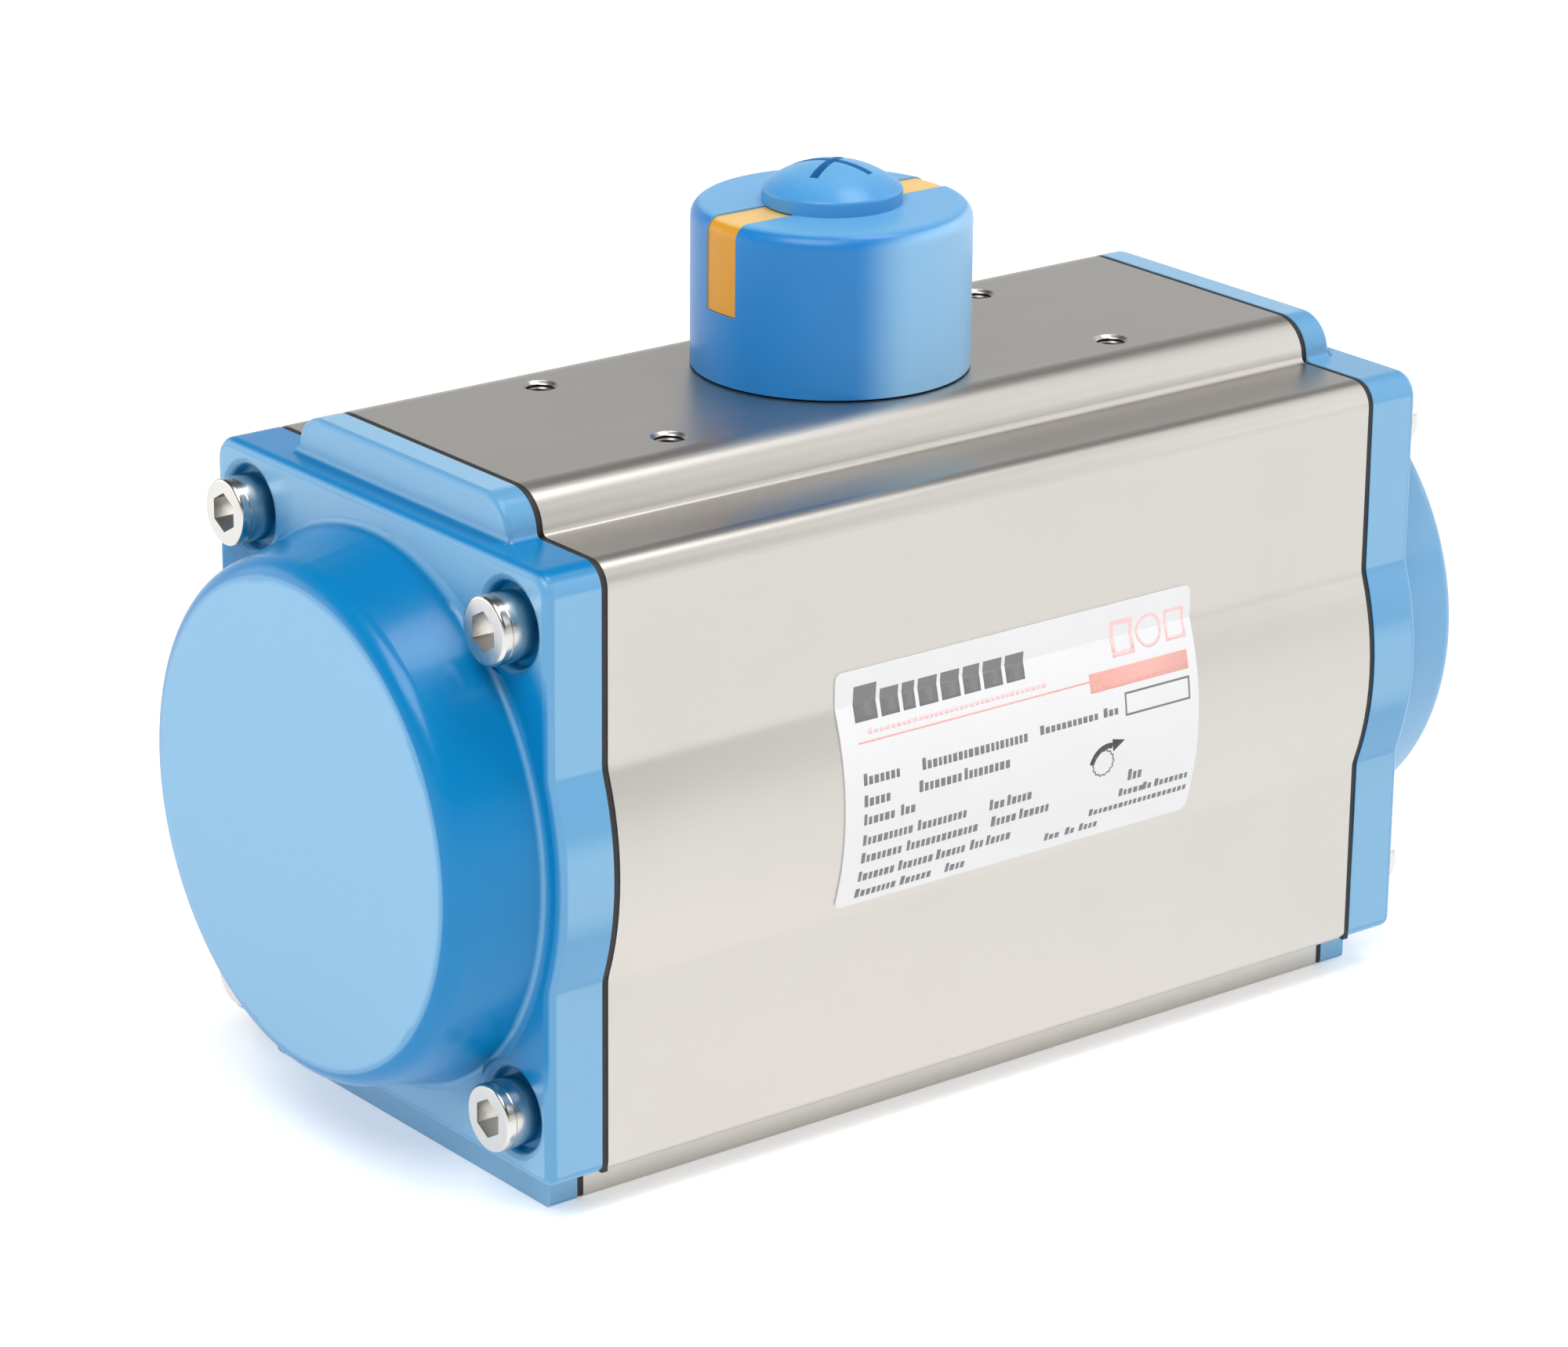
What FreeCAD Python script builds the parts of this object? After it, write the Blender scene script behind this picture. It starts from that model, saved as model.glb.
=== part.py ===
import FreeCAD, Part
import math
import os
import re

import Sketcher

# Double-acting rack-and-pinion actuator, 75 mm bore, quarter turn.
# Frame: origin where the output shaft's axis meets the bottom mounting face, +X along the
# cylinder bore, +Y towards the air ports, +Z up through the position indicator.
# At rest both pistons are closed in the middle and the indicator stripe lies along X.

Vector = FreeCAD.Vector
Rotation = FreeCAD.Rotation
Placement = FreeCAD.Placement

NO_TURN = Rotation()
UPRIGHT_TO_BACK = Rotation(Vector(1, 0, 0), -90)
UPRIGHT_TO_LEFT = Rotation(Vector(0, 1, 0), -90)
UPRIGHT_TO_RIGHT = Rotation(Vector(0, 1, 0), 90)
HALF_TURN = Rotation(Vector(0, 0, 1), 180)

# side on which an arc bulges, seen along the outline
ROUND_LEFT = 1
ROUND_RIGHT = -1

# alias, size in millimetres (or a count), meaning
DIMENSIONS = (
    ("body_half", 68.5, "half length of the aluminium extrusion"),
    ("gasket_thick", 1.0, "flat gasket between extrusion and end cap"),
    ("profile_high", 99.0, "bottom mounting face to top accessory face"),
    ("shoulder_high", 93.0, "height of the shoulders beside the top pad"),
    ("foot_high", 6.0, "height of the narrower foot"),
    ("pad_half", 25.2, "half width of the top pad"),
    ("side_half", 39.6, "half width over the flat sides"),
    ("foot_half", 33.8, "half width of the foot"),
    ("bore_high", 49.5, "height of the cylinder bore axis"),
    ("bore_radius", 37.5, "cylinder bore"),
    ("bulge_radius", 42.35, "outer wall that follows the bore"),
    ("valve_reach", 44.8, "valve pad face from the middle plane"),
    ("valve_low", 10.6, "lower edge of the valve pad"),
    ("valve_high", 64.9, "upper edge of the valve pad"),
    ("pad_corner", 5.5, "rounding of the top pad's upper edges"),
    ("side_corner", 3.6, "rounding of the shoulder edges"),
    ("low_corner", 1.7, "rounding of the lower side edges"),
    ("foot_edge", 0.8, "rounding of the foot's long bottom edges"),
    ("valve_corner", 1.5, "rounding of the valve pad's edges"),
    ("crease_blend", 5.0, "blend between bulge and flat side"),
    ("pad_root", 1.0, "blend at the foot of the top pad"),
    ("gasket_inset", 0.15, "how far the gasket stays inside the outline"),
    ("cap_step", 4.6, "cap thickness at the top pad and the foot"),
    ("cap_flange", 8.8, "cap thickness at the flange"),
    ("cap_length", 22.5, "cap length over the dome"),
    ("cap_edge", 1.4, "rounding of the cap's outer edges"),
    ("cap_step_edge", 0.8, "rounding of the cap's step edges"),
    ("cap_step_root", 1.0, "blend between that step and the ledge below it"),
    ("dome_base", 39.25, "dome radius at the flange"),
    ("dome_end", 36.5, "dome radius at its flat end"),
    ("dome_root", 1.5, "blend between dome and flange"),
    ("dome_edge", 3.5, "rounding of the dome's end edge"),
    ("cavity_base", 35.4, "cap cavity radius at the gasket"),
    ("cavity_end", 32.6, "cap cavity radius at its floor"),
    ("cavity_deep", 18.2, "cap cavity depth"),
    ("screw_out", 31.2, "cap screw axis from the middle plane"),
    ("screw_rise", 34.7, "cap screw axis above or below the bore axis"),
    ("screw_hole", 3.3, "clearance hole of a cap screw in cap and gasket"),
    ("thread_hole", 3.05, "cap screw's hole in the extrusion"),
    ("thread_deep", 14.5, "depth of that hole"),
    ("pocket_radius", 5.8, "recess around a cap screw's head"),
    ("pocket_deep", 1.8, "recess depth below the flange face"),
    ("pocket_flare", 1.3, "rounded mouth of the recess"),
    ("pocket_relief", 0.5, "extra radius where the recess meets the dome"),
    ("cap_head_radius", 4.8, "cap screw head"),
    ("cap_head_long", 6.0, "cap screw head length"),
    ("cap_head_round", 0.45, "rounding of the head's front edge"),
    ("head_line_back", 1.35, "turned line behind the head's front face"),
    ("head_line_wide", 0.24, "width of the turned line"),
    ("head_line_deep", 0.14, "depth of the turned line"),
    ("cap_hex_flat", 5.0, "hexagon socket across flats"),
    ("cap_hex_deep", 3.0, "hexagon socket depth"),
    ("cap_shank_radius", 3.0, "cap screw shank"),
    ("cap_shank_long", 20.0, "cap screw length under the head"),
    ("channel_out", 38.0, "air channel axis from the middle plane"),
    ("channel_high", 18.0, "air channel axis height"),
    ("channel_radius", 1.75, "air channel to the end caps"),
    ("slot_half", 2.0, "half width of the cap's air slot"),
    ("slot_deep", 2.5, "depth of the cap's air slot"),
    ("slot_reach", 31.8, "inner end of the slot from the bore axis"),
    ("spigot_radius", 17.5, "locating recess of the mounting face"),
    ("spigot_deep", 3.0, "depth of the locating recess"),
    ("lower_hole", 16.4, "pinion hole in the floor of the housing"),
    ("upper_hole", 10.4, "pinion hole in the roof of the housing"),
    ("spotface_radius", 15.5, "flat seat for the inner thrust ring"),
    ("spotface_high", 87.3, "height of that seat"),
    ("small_flange_arm", 17.678, "50 mm bolt circle, along X and along Y"),
    ("small_flange_hole", 2.5, "core hole of its threads"),
    ("small_flange_deep", 12.0, "depth of its holes"),
    ("large_flange_arm", 24.749, "70 mm bolt circle, along X and along Y"),
    ("large_flange_hole", 3.4, "core hole of its threads"),
    ("large_flange_deep", 15.0, "depth of its holes"),
    ("top_hole_long", 40.0, "half spacing of the top holes along X"),
    ("top_hole_wide", 15.0, "half spacing of the top holes along Y"),
    ("small_thread", 2.1, "core hole of the 5 mm threads"),
    ("top_hole_deep", 10.0, "depth of the top holes"),
    ("top_hole_mouth", 2.6, "countersunk mouth of the top holes"),
    ("valve_centre", 35.3, "height of the valve interface"),
    ("valve_hole_long", 16.0, "half spacing of its screws along X"),
    ("valve_hole_tall", 12.0, "half spacing of its screws along Z"),
    ("valve_hole_deep", 6.0, "depth of its screw holes"),
    ("port_half", 12.0, "air port from the middle, along X"),
    ("port_radius", 5.9, "core hole of the air port thread"),
    ("port_deep", 6.8, "depth of the air port"),
    ("port_pass", 2.5, "hole from the middle chamber's port to the bore"),
    ("drill_place", 10.0, "cross drilling from the other port, along X"),
    ("drill_out", 40.5, "cross drilling from the middle plane"),
    ("drill_radius", 1.5, "cross drilling"),
    ("drill_top", 31.0, "upper end of the cross drilling"),
    ("plug_long", 4.0, "plug that closes the cross drilling"),
    ("plug_head", 0.4, "countersink of that plug"),
    ("stop_place", 16.5, "stop screw from the middle, along X"),
    ("stop_high", 74.6, "height of the stop screws"),
    ("stop_radius", 4.0, "stop screw thread"),
    ("stop_hole", 4.06, "its hole in wall and nut"),
    ("stop_tip", 7.05, "inner end of a stop screw from the middle plane"),
    ("stop_long", 45.0, "stop screw length"),
    ("stop_hex_flat", 4.0, "its hexagon socket across flats"),
    ("stop_hex_deep", 5.0, "depth of that socket"),
    ("stop_point", 3.1, "radius of its flat point"),
    ("seal_seat_radius", 6.1, "seat of the stop screw's seal ring"),
    ("seal_seat_deep", 1.7, "depth of that seat"),
    ("stop_seal_centre", 4.95, "stop seal ring, middle of its section"),
    ("stop_seal_section", 0.85, "stop seal ring, section radius"),
    ("stop_washer_radius", 8.0, "washer under the lock nut"),
    ("stop_washer_thick", 1.6, "its thickness"),
    ("nut_flat", 13.0, "lock nut across flats"),
    ("nut_thick", 6.5, "lock nut thickness"),
    ("nut_bevel_angle", 30.0, "bevel of the nut's corners, degrees"),
    ("pinion_low", 3.0, "bottom face of the pinion"),
    ("pinion_radius", 16.0, "pinion journal and tooth tips"),
    ("tooth_count", 14, "pinion teeth"),
    ("gear_module", 2.0, "tooth module"),
    ("pressure_angle", 20.0, "tooth pressure angle, degrees"),
    ("tooth_slack", 0.1, "thinning of each tooth at the pitch line"),
    ("rack_addendum", 1.6, "rack tooth height over the pitch line"),
    ("rack_clearance", 0.4, "gap between pinion tips and rack roots"),
    ("gear_root", 12.0, "pinion root radius"),
    ("gear_low", 33.0, "lower end of the teeth"),
    ("gear_high", 66.0, "upper end of the teeth"),
    ("lower_seal_low", 4.4, "lower seal groove starts"),
    ("lower_seal_high", 7.4, "lower seal groove ends"),
    ("lower_seal_floor", 13.8, "lower seal groove floor radius"),
    ("lower_bearing_low", 8.4, "lower bearing groove starts"),
    ("lower_bearing_high", 12.9, "lower bearing groove ends"),
    ("lower_bearing_floor", 14.95, "lower bearing groove floor radius"),
    ("octagon_flat", 21.0, "octagon under the stop cam, across flats"),
    ("octagon_high", 84.6, "upper end of the octagon"),
    ("neck_radius", 10.1, "upper journal"),
    ("upper_bearing_low", 88.6, "upper bearing groove starts"),
    ("upper_bearing_high", 93.1, "upper bearing groove ends"),
    ("upper_bearing_floor", 8.95, "upper bearing groove floor radius"),
    ("upper_seal_low", 94.4, "upper seal groove starts"),
    ("upper_seal_high", 97.4, "upper seal groove ends"),
    ("upper_seal_floor", 8.2, "upper seal groove floor radius"),
    ("snap_low", 101.6, "snap ring groove starts"),
    ("snap_high", 102.8, "snap ring groove ends"),
    ("snap_floor", 9.2, "snap ring groove floor radius"),
    ("stub_low", 104.5, "thinner end of the pinion starts"),
    ("stub_high", 119.0, "top of the pinion"),
    ("stub_radius", 9.1, "thinner end of the pinion"),
    ("stub_flat", 6.5, "flats on that end, from the axis"),
    ("drive_flat", 14.0, "double-square drive socket across flats"),
    ("drive_deep", 17.0, "depth of the drive socket"),
    ("pinion_thread", 3.0, "screw hole in the top of the pinion"),
    ("pinion_thread_deep", 15.0, "its depth"),
    ("ring_play", 0.05, "running clearance of rings and bearings"),
    ("cam_hub", 13.2, "stop cam hub radius"),
    ("cam_low", 69.5, "underside of the cam's sector"),
    ("cam_high", 76.5, "top of the cam's sector"),
    ("cam_radius", 22.5, "cam sector radius"),
    ("cam_flat", 7.0, "cam stop faces from the axis"),
    ("cam_play", 0.05, "clearance of the cam on the octagon"),
    ("thrust_low", 84.8, "underside of the inner thrust ring"),
    ("thrust_high", 87.2, "top of the inner thrust ring"),
    ("thrust_radius", 15.0, "inner thrust ring"),
    ("washer_inner", 10.45, "inner radius of the thrust parts"),
    ("washer_outer", 14.5, "outer radius of the upper washers"),
    ("slide_washer_thick", 1.2, "plastic thrust washer"),
    ("steel_washer_low", 100.35, "underside of the steel washer"),
    ("steel_washer_thick", 1.15, "steel washer"),
    ("snap_thick", 1.0, "snap ring thickness"),
    ("snap_outer", 12.2, "snap ring outer radius"),
    ("snap_gap", 5.0, "gap between the snap ring's ends"),
    ("piston_near", 28.5, "piston head's inner face at rest"),
    ("piston_far", 46.0, "piston head's outer face at rest"),
    ("piston_radius", 37.2, "piston head"),
    ("piston_seal_near", 38.6, "piston seal groove starts"),
    ("piston_seal_far", 42.6, "piston seal groove ends"),
    ("piston_seal_floor", 34.2, "piston seal groove floor radius"),
    ("piston_seal_section", 1.6, "piston seal ring, section radius"),
    ("piston_seal_centre", 35.85, "piston seal ring, middle of its section"),
    ("band_near", 30.6, "guide band groove starts"),
    ("band_far", 36.6, "guide band groove ends"),
    ("band_floor", 35.9, "guide band groove floor radius"),
    ("band_play", 0.15, "guide band's play along the bore"),
    ("crown_radius", 29.0, "hollow in the piston's outer face"),
    ("crown_deep", 9.0, "depth of that hollow"),
    ("arm_end", 27.5, "rack arm's free end past the middle at rest"),
    ("arm_back", 31.0, "back of the rack arm from the middle plane"),
    ("arm_low", 35.0, "underside of the rack arm"),
    ("arm_high", 64.0, "top of the rack arm"),
    ("rack_space_count", 7, "tooth spaces in a rack"),
    ("rack_first_space", -2, "first tooth space, counted from the middle"),
    ("shoe_long", 30.0, "guide shoe length"),
    ("shoe_tall", 20.0, "guide shoe height"),
    ("shoe_middle", 10.0, "guide shoe's middle past the middle at rest"),
    ("shoe_peg_half", 5.0, "half width of the shoe's square peg"),
    ("shoe_peg_deep", 2.0, "depth of the peg's recess"),
    ("shoe_peg_play", 0.1, "play of the peg in its recess"),
    ("indicator_low", 99.3, "lower edge of the indicator cap"),
    ("indicator_high", 122.8, "top face of the indicator cap"),
    ("indicator_radius", 20.0, "indicator cap"),
    ("indicator_edge", 2.2, "rounding of its top edge"),
    ("indicator_wall", 2.6, "wall of the indicator cap"),
    ("indicator_top", 3.0, "roof of the indicator cap"),
    ("indicator_hub", 12.6, "hub inside the indicator cap"),
    ("hub_low", 105.0, "lower end of that hub"),
    ("hub_play", 0.1, "clearance of the hub on the pinion"),
    ("stripe_half", 3.3, "half width of the indicator's stripe groove"),
    ("stripe_low", 109.4, "lower end of the stripe"),
    ("stripe_deep", 1.8, "depth of the stripe groove"),
    ("stripe_sink", 0.25, "how far the stripe lies below the cap's face"),
    ("stripe_play", 0.12, "gap between stripe and groove"),
    ("stripe_eye", 6.0, "round middle of the stripe, under the screw's head"),
    ("knob_radius", 10.0, "indicator screw head"),
    ("knob_rim", 2.0, "straight rim of that head"),
    ("knob_high", 5.8, "height of that head"),
    ("knob_round", 0.5, "rounding of its rim"),
    ("knob_shank", 2.95, "indicator screw shank"),
    ("knob_shank_long", 15.0, "its length under the head"),
    ("knob_hole", 3.2, "screw hole in cap and stripe"),
    ("cross_arm", 6.0, "cross recess arm length"),
    ("cross_half", 0.65, "half width of a cross recess arm"),
    ("cross_deep", 2.2, "depth of the cross recess"),
    ("cross_turn", 25.0, "turn of the cross recess, degrees"),
    ("label_middle", 2.1, "middle of the label along X"),
    ("label_half", 32.4, "half width of the label"),
    ("label_low", 35.3, "lower edge of the label"),
    ("label_high", 69.5, "upper edge of the label"),
    ("label_thick", 0.2, "label thickness"),
    ("label_corner", 1.2, "rounding of the label's corners"),
    ("sink", 1.0, "overlap of a cutting tool past a face"),
)
ALIASES = {alias for alias, _, _ in DIMENSIONS}

document = FreeCAD.newDocument("rotary_actuator")
sheet = document.addObject("Spreadsheet::Sheet", "Dims")
for row, (alias, amount, meaning) in enumerate(DIMENSIONS, start=1):
    sheet.set(f"A{row}", meaning)
    sheet.set(f"B{row}", str(amount))
    sheet.setAlias(f"B{row}", alias)
document.recompute()


# --- expressions, sketches and features ---------------------------------------------------


def expression(text):
    """Turn bare dimension names into references to the sheet."""
    return re.sub(r"[a-z_]+", lambda word: "Dims." + word[0] if word[0] in ALIASES else word[0], text)


def size(text):
    """Value of an expression of dimensions, as a number."""
    return float(sheet.evalExpression(expression(text)))


def bind(feature, **properties):
    for name, text in properties.items():
        feature.setExpression(name, expression(text))


def new_body(label):
    body = document.addObject("PartDesign::Body", label)
    body.Label = label
    return body


def new_sketch(body, role, raised="0", shifted="0"):
    """Sketch on an origin plane, raised along the plane's normal and shifted along its own Y."""
    sketch = body.newObject("Sketcher::SketchObject", body.Name + "_sketch")
    plane = next(item for item in body.Origin.OriginFeatures if item.Role == role)
    sketch.AttachmentSupport = [(plane, "")]
    sketch.MapMode = "FlatFace"
    sketch.setExpression("AttachmentOffset.Base.z", expression(raised))
    sketch.setExpression("AttachmentOffset.Base.y", expression(shifted))
    return sketch


def pin_point(sketch, index, point, across, along):
    """Hold one point of a sketch element at a place given by two expressions."""
    for kind, text in (("DistanceX", across), ("DistanceY", along)):
        held = Sketcher.Constraint(kind, -1, 1, index, point, size(text))
        sketch.setExpression(f"Constraints[{sketch.addConstraint(held)}]", expression(text))


def hold_radius(sketch, index, radius):
    held = Sketcher.Constraint("Radius", index, size(radius))
    sketch.setExpression(f"Constraints[{sketch.addConstraint(held)}]", expression(radius))


def draw_circle(sketch, across, along, radius):
    centre = Vector(size(across), size(along), 0)
    index = sketch.addGeometry(Part.Circle(centre, Vector(0, 0, 1), size(radius)))
    pin_point(sketch, index, 3, across, along)
    hold_radius(sketch, index, radius)


def draw_outline(sketch, corners):
    """Closed outline. A corner is (across, along), or has an arc's radius and side after it
    when the stretch to the next corner is round."""
    places = [Vector(size(corner[0]), size(corner[1]), 0) for corner in corners]
    ends = []
    for number, corner in enumerate(corners):
        start = places[number]
        end = places[(number + 1) % len(places)]
        if len(corner) == 2:
            index = sketch.addGeometry(Part.LineSegment(start, end))
            ends.append((index, 1, 2))
            continue
        radius, side = corner[2:]
        chord = end - start
        left = Vector(-chord.y, chord.x, 0).normalize()
        rise = size(radius) - math.sqrt(size(radius) ** 2 - chord.Length**2 / 4)
        middle = (start + end) / 2 + left * rise * side
        index = sketch.addGeometry(Part.Arc(start, middle, end))
        ends.append((index, 2, 1) if side > 0 else (index, 1, 2))
    for number, corner in enumerate(corners):
        index, first, last = ends[number]
        following, next_first, _ = ends[(number + 1) % len(ends)]
        sketch.addConstraint(Sketcher.Constraint("Coincident", index, last, following, next_first))
        pin_point(sketch, index, first, corner[0], corner[1])
        if len(corner) == 4:
            hold_radius(sketch, index, corner[2])


def rectangle(low_across, high_across, low_along, high_along):
    return (
        (low_across, low_along),
        (high_across, low_along),
        (high_across, high_along),
        (low_across, high_along),
    )


def regular_outline(count, radius, turn=0.0):
    """Corners of a regular polygon around the origin."""
    angles = [turn + 360 * number / count for number in range(count)]
    return [(f"({radius}) * cos({angle} deg)", f"({radius}) * sin({angle} deg)") for angle in angles]


def add_feature(body, kind, sketch):
    feature = body.newObject("PartDesign::" + kind, body.Name + "_" + kind.lower())
    feature.Profile = sketch
    return feature


def pad(body, sketch, length, symmetric=False, reverse=False):
    feature = add_feature(body, "Pad", sketch)
    feature.SideType = "Symmetric" if symmetric else "One side"
    feature.Reversed = reverse
    bind(feature, Length=length)
    document.recompute()
    return feature


def pocket(body, sketch, length, symmetric=False, reverse=False):
    """Cut away from the sketch against its normal, or along it when reversed."""
    before = body.Shape.Volume
    feature = add_feature(body, "Pocket", sketch)
    feature.SideType = "Symmetric" if symmetric else "One side"
    feature.Reversed = reverse
    bind(feature, Length=length)
    document.recompute()
    check_cut(body, feature, before)
    return feature


def check_cut(body, feature, before):
    if not body.Shape.Volume < before:
        raise ValueError(f"{feature.Name} of {body.Label} cut nothing")


def revolve(body, sketch, axis):
    feature = add_feature(body, "Revolution", sketch)
    feature.ReferenceAxis = (sketch, [axis])
    feature.Angle = 360
    document.recompute()
    return feature


def groove(body, sketch, axis):
    before = body.Shape.Volume
    feature = add_feature(body, "Groove", sketch)
    feature.ReferenceAxis = (sketch, [axis])
    feature.Angle = 360
    document.recompute()
    check_cut(body, feature, before)
    return feature


def polar_pattern(body, features, count):
    pattern = body.newObject("PartDesign::PolarPattern", body.Name + "_pattern")
    pattern.Originals = features
    axis = next(item for item in body.Origin.OriginFeatures if item.Role == "Z_Axis")
    pattern.Axis = (axis, [""])
    pattern.Angle = 360
    bind(pattern, Occurrences=count)
    body.Tip = pattern
    document.recompute()
    return pattern


def dress_edges(body, kind, wanted, **sizes):
    """Fillet or chamfer the edges of the body's last shape for which wanted(edge) is true."""
    base = body.Tip
    names = [f"Edge{number}" for number, edge in enumerate(base.Shape.Edges, start=1) if wanted(edge)]
    if not names:
        raise ValueError(f"no edge of {body.Label} for {kind} {sizes}")
    feature = body.newObject("PartDesign::" + kind, body.Name + "_" + kind.lower())
    feature.Base = (base, names)
    bind(feature, **sizes)
    document.recompute()
    return feature


def round_edges(body, radius, wanted):
    return dress_edges(body, "Fillet", wanted, Radius=radius)


def is_near(value, *targets, tolerance=0.01):
    return any(abs(value - target) < tolerance for target in targets)


def lies_at(edge, **places):
    """True when the whole edge keeps the given x, y or z."""
    box = edge.BoundBox
    for axis, place in places.items():
        low = getattr(box, axis.upper() + "Min")
        high = getattr(box, axis.upper() + "Max")
        if not (is_near(low, place) and is_near(high, place)):
            return False
    return True


def is_ring(edge, radius):
    if edge.Degenerated or not isinstance(edge.Curve, Part.Circle):
        return False
    return is_near(edge.Curve.Radius, radius)


def lengthwise_at(edge, side, height):
    """Straight edge along X at this distance from the middle plane and this height."""
    return isinstance(edge.Curve, Part.Line) and (
        lies_at(edge, y=side, z=height) or lies_at(edge, y=-side, z=height)
    )


def shaped_group(label, solids):
    """One node that holds several separate solids."""
    group = document.addObject("Part::Feature", label)
    group.Label = label
    group.Shape = Part.makeCompound(solids)
    group.Placement = Placement()
    return group


def placed_copies(source, places):
    """Copies of a body's shape at other placements; the body itself stays a template."""
    copies = []
    for place in places:
        copy = source.Shape.copy()
        copy.Placement = place
        copies.append(copy)
    return copies


# --- outlines shared by extrusion, gaskets and caps ---------------------------------------


def flank_outline(inset="0"):
    """Outline between foot and shoulders, with the valve pad on +Y."""
    side = f"side_half - {inset}"
    reach = f"valve_reach - {inset}"
    low = f"foot_high + {inset}"
    high = f"shoulder_high - {inset}"
    return [
        (side, low),
        (side, f"valve_low + {inset}"),
        (reach, f"valve_low + {inset}"),
        (reach, f"valve_high - {inset}"),
        (side, f"valve_high - {inset}"),
        (side, high),
        ("-(" + side + ")", high),
        ("-(" + side + ")", low),
    ]


def column_outline(inset="0"):
    """Foot and top pad, joined by a web that the flank outline covers."""
    foot = f"foot_half - {inset}"
    top = f"pad_half - {inset}"
    return [
        (foot, inset),
        (foot, "bore_high"),
        (top, "bore_high"),
        (top, f"profile_high - {inset}"),
        ("-(" + top + ")", f"profile_high - {inset}"),
        ("-(" + top + ")", "bore_high"),
        ("-(" + foot + ")", "bore_high"),
        ("-(" + foot + ")", inset),
    ]


def round_lengthwise_edges(body):
    """Roundings that extrusion and caps share along X."""
    for radius, side, height in (
        ("pad_corner", "pad_half", "profile_high"),
        ("side_corner", "side_half", "shoulder_high"),
        ("low_corner", "side_half", "foot_high"),
        ("foot_edge", "foot_half", "0"),
    ):
        round_edges(body, radius, lambda edge: lengthwise_at(edge, size(side), size(height)))
    crease = size("sqrt(bulge_radius^2 - side_half^2)")
    creases = (size("bore_high") - crease, size("bore_high") + crease)
    round_edges(
        body,
        "crease_blend",
        lambda edge: any(lengthwise_at(edge, size("side_half"), height) for height in creases),
    )
    round_edges(
        body,
        "valve_corner",
        lambda edge: any(
            lengthwise_at(edge, side, height)
            for side in (size("valve_reach"), size("side_half"))
            for height in (size("valve_low"), size("valve_high"))
        ),
    )
    round_edges(body, "pad_root", lambda edge: lengthwise_at(edge, size("pad_half"), size("shoulder_high")))


def cap_screw_places():
    """(y, z) of the four screws of a cap, as expressions."""
    return [
        (f"{side} * screw_out", f"bore_high + {rise} * screw_rise")
        for side in (1, -1)
        for rise in (1, -1)
    ]


# --- housing ------------------------------------------------------------------------------


def make_actuator_body():
    """Extruded and machined aluminium housing."""
    body = new_body("actuator_body")
    for outline in (flank_outline(), column_outline()):
        sketch = new_sketch(body, "YZ_Plane")
        draw_outline(sketch, outline)
        pad(body, sketch, "2 * body_half", symmetric=True)
    bulge = new_sketch(body, "YZ_Plane")
    draw_circle(bulge, "0", "bore_high", "bulge_radius")
    pad(body, bulge, "2 * body_half", symmetric=True)
    round_lengthwise_edges(body)

    bore = new_sketch(body, "YZ_Plane")
    draw_circle(bore, "0", "bore_high", "bore_radius")
    pocket(body, bore, "2 * body_half + 2 * sink", symmetric=True)
    cut_pinion_holes(body)
    cut_mounting_holes(body)
    cut_valve_interface(body)
    cut_stop_screw_holes(body)
    cut_end_holes(body)
    return body


def cut_pinion_holes(body):
    lower = new_sketch(body, "XZ_Plane")
    draw_outline(
        lower,
        (
            ("0", "-sink"),
            ("spigot_radius", "-sink"),
            ("spigot_radius", "spigot_deep"),
            ("lower_hole", "spigot_deep"),
            ("lower_hole", "bore_high"),
            ("0", "bore_high"),
        ),
    )
    groove(body, lower, "V_Axis")
    upper = new_sketch(body, "XZ_Plane")
    draw_outline(
        upper,
        (
            ("0", "bore_high"),
            ("spotface_radius", "bore_high"),
            ("spotface_radius", "spotface_high"),
            ("upper_hole", "spotface_high"),
            ("upper_hole", "profile_high + sink"),
            ("0", "profile_high + sink"),
        ),
    )
    groove(body, upper, "V_Axis")


def draw_four_circles(sketch, across, along, radius, middle="0"):
    for side in (1, -1):
        for way in (1, -1):
            draw_circle(sketch, f"{side} * ({across})", f"{middle} + {way} * ({along})", radius)


def cut_mounting_holes(body):
    """Two bolt circles in the bottom face and four threads with countersunk mouths on top."""
    for name in ("small_flange", "large_flange"):
        flange = new_sketch(body, "XY_Plane")
        draw_four_circles(flange, name + "_arm", name + "_arm", name + "_hole")
        pocket(body, flange, name + "_deep", reverse=True)
    top = new_sketch(body, "XY_Plane", raised="profile_high")
    draw_four_circles(top, "top_hole_long", "top_hole_wide", "small_thread")
    pocket(body, top, "top_hole_deep")
    dress_edges(
        body,
        "Chamfer",
        lambda edge: is_ring(edge, size("small_thread")) and lies_at(edge, z=size("profile_high")),
        Size="top_hole_mouth - small_thread",
    )


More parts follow.
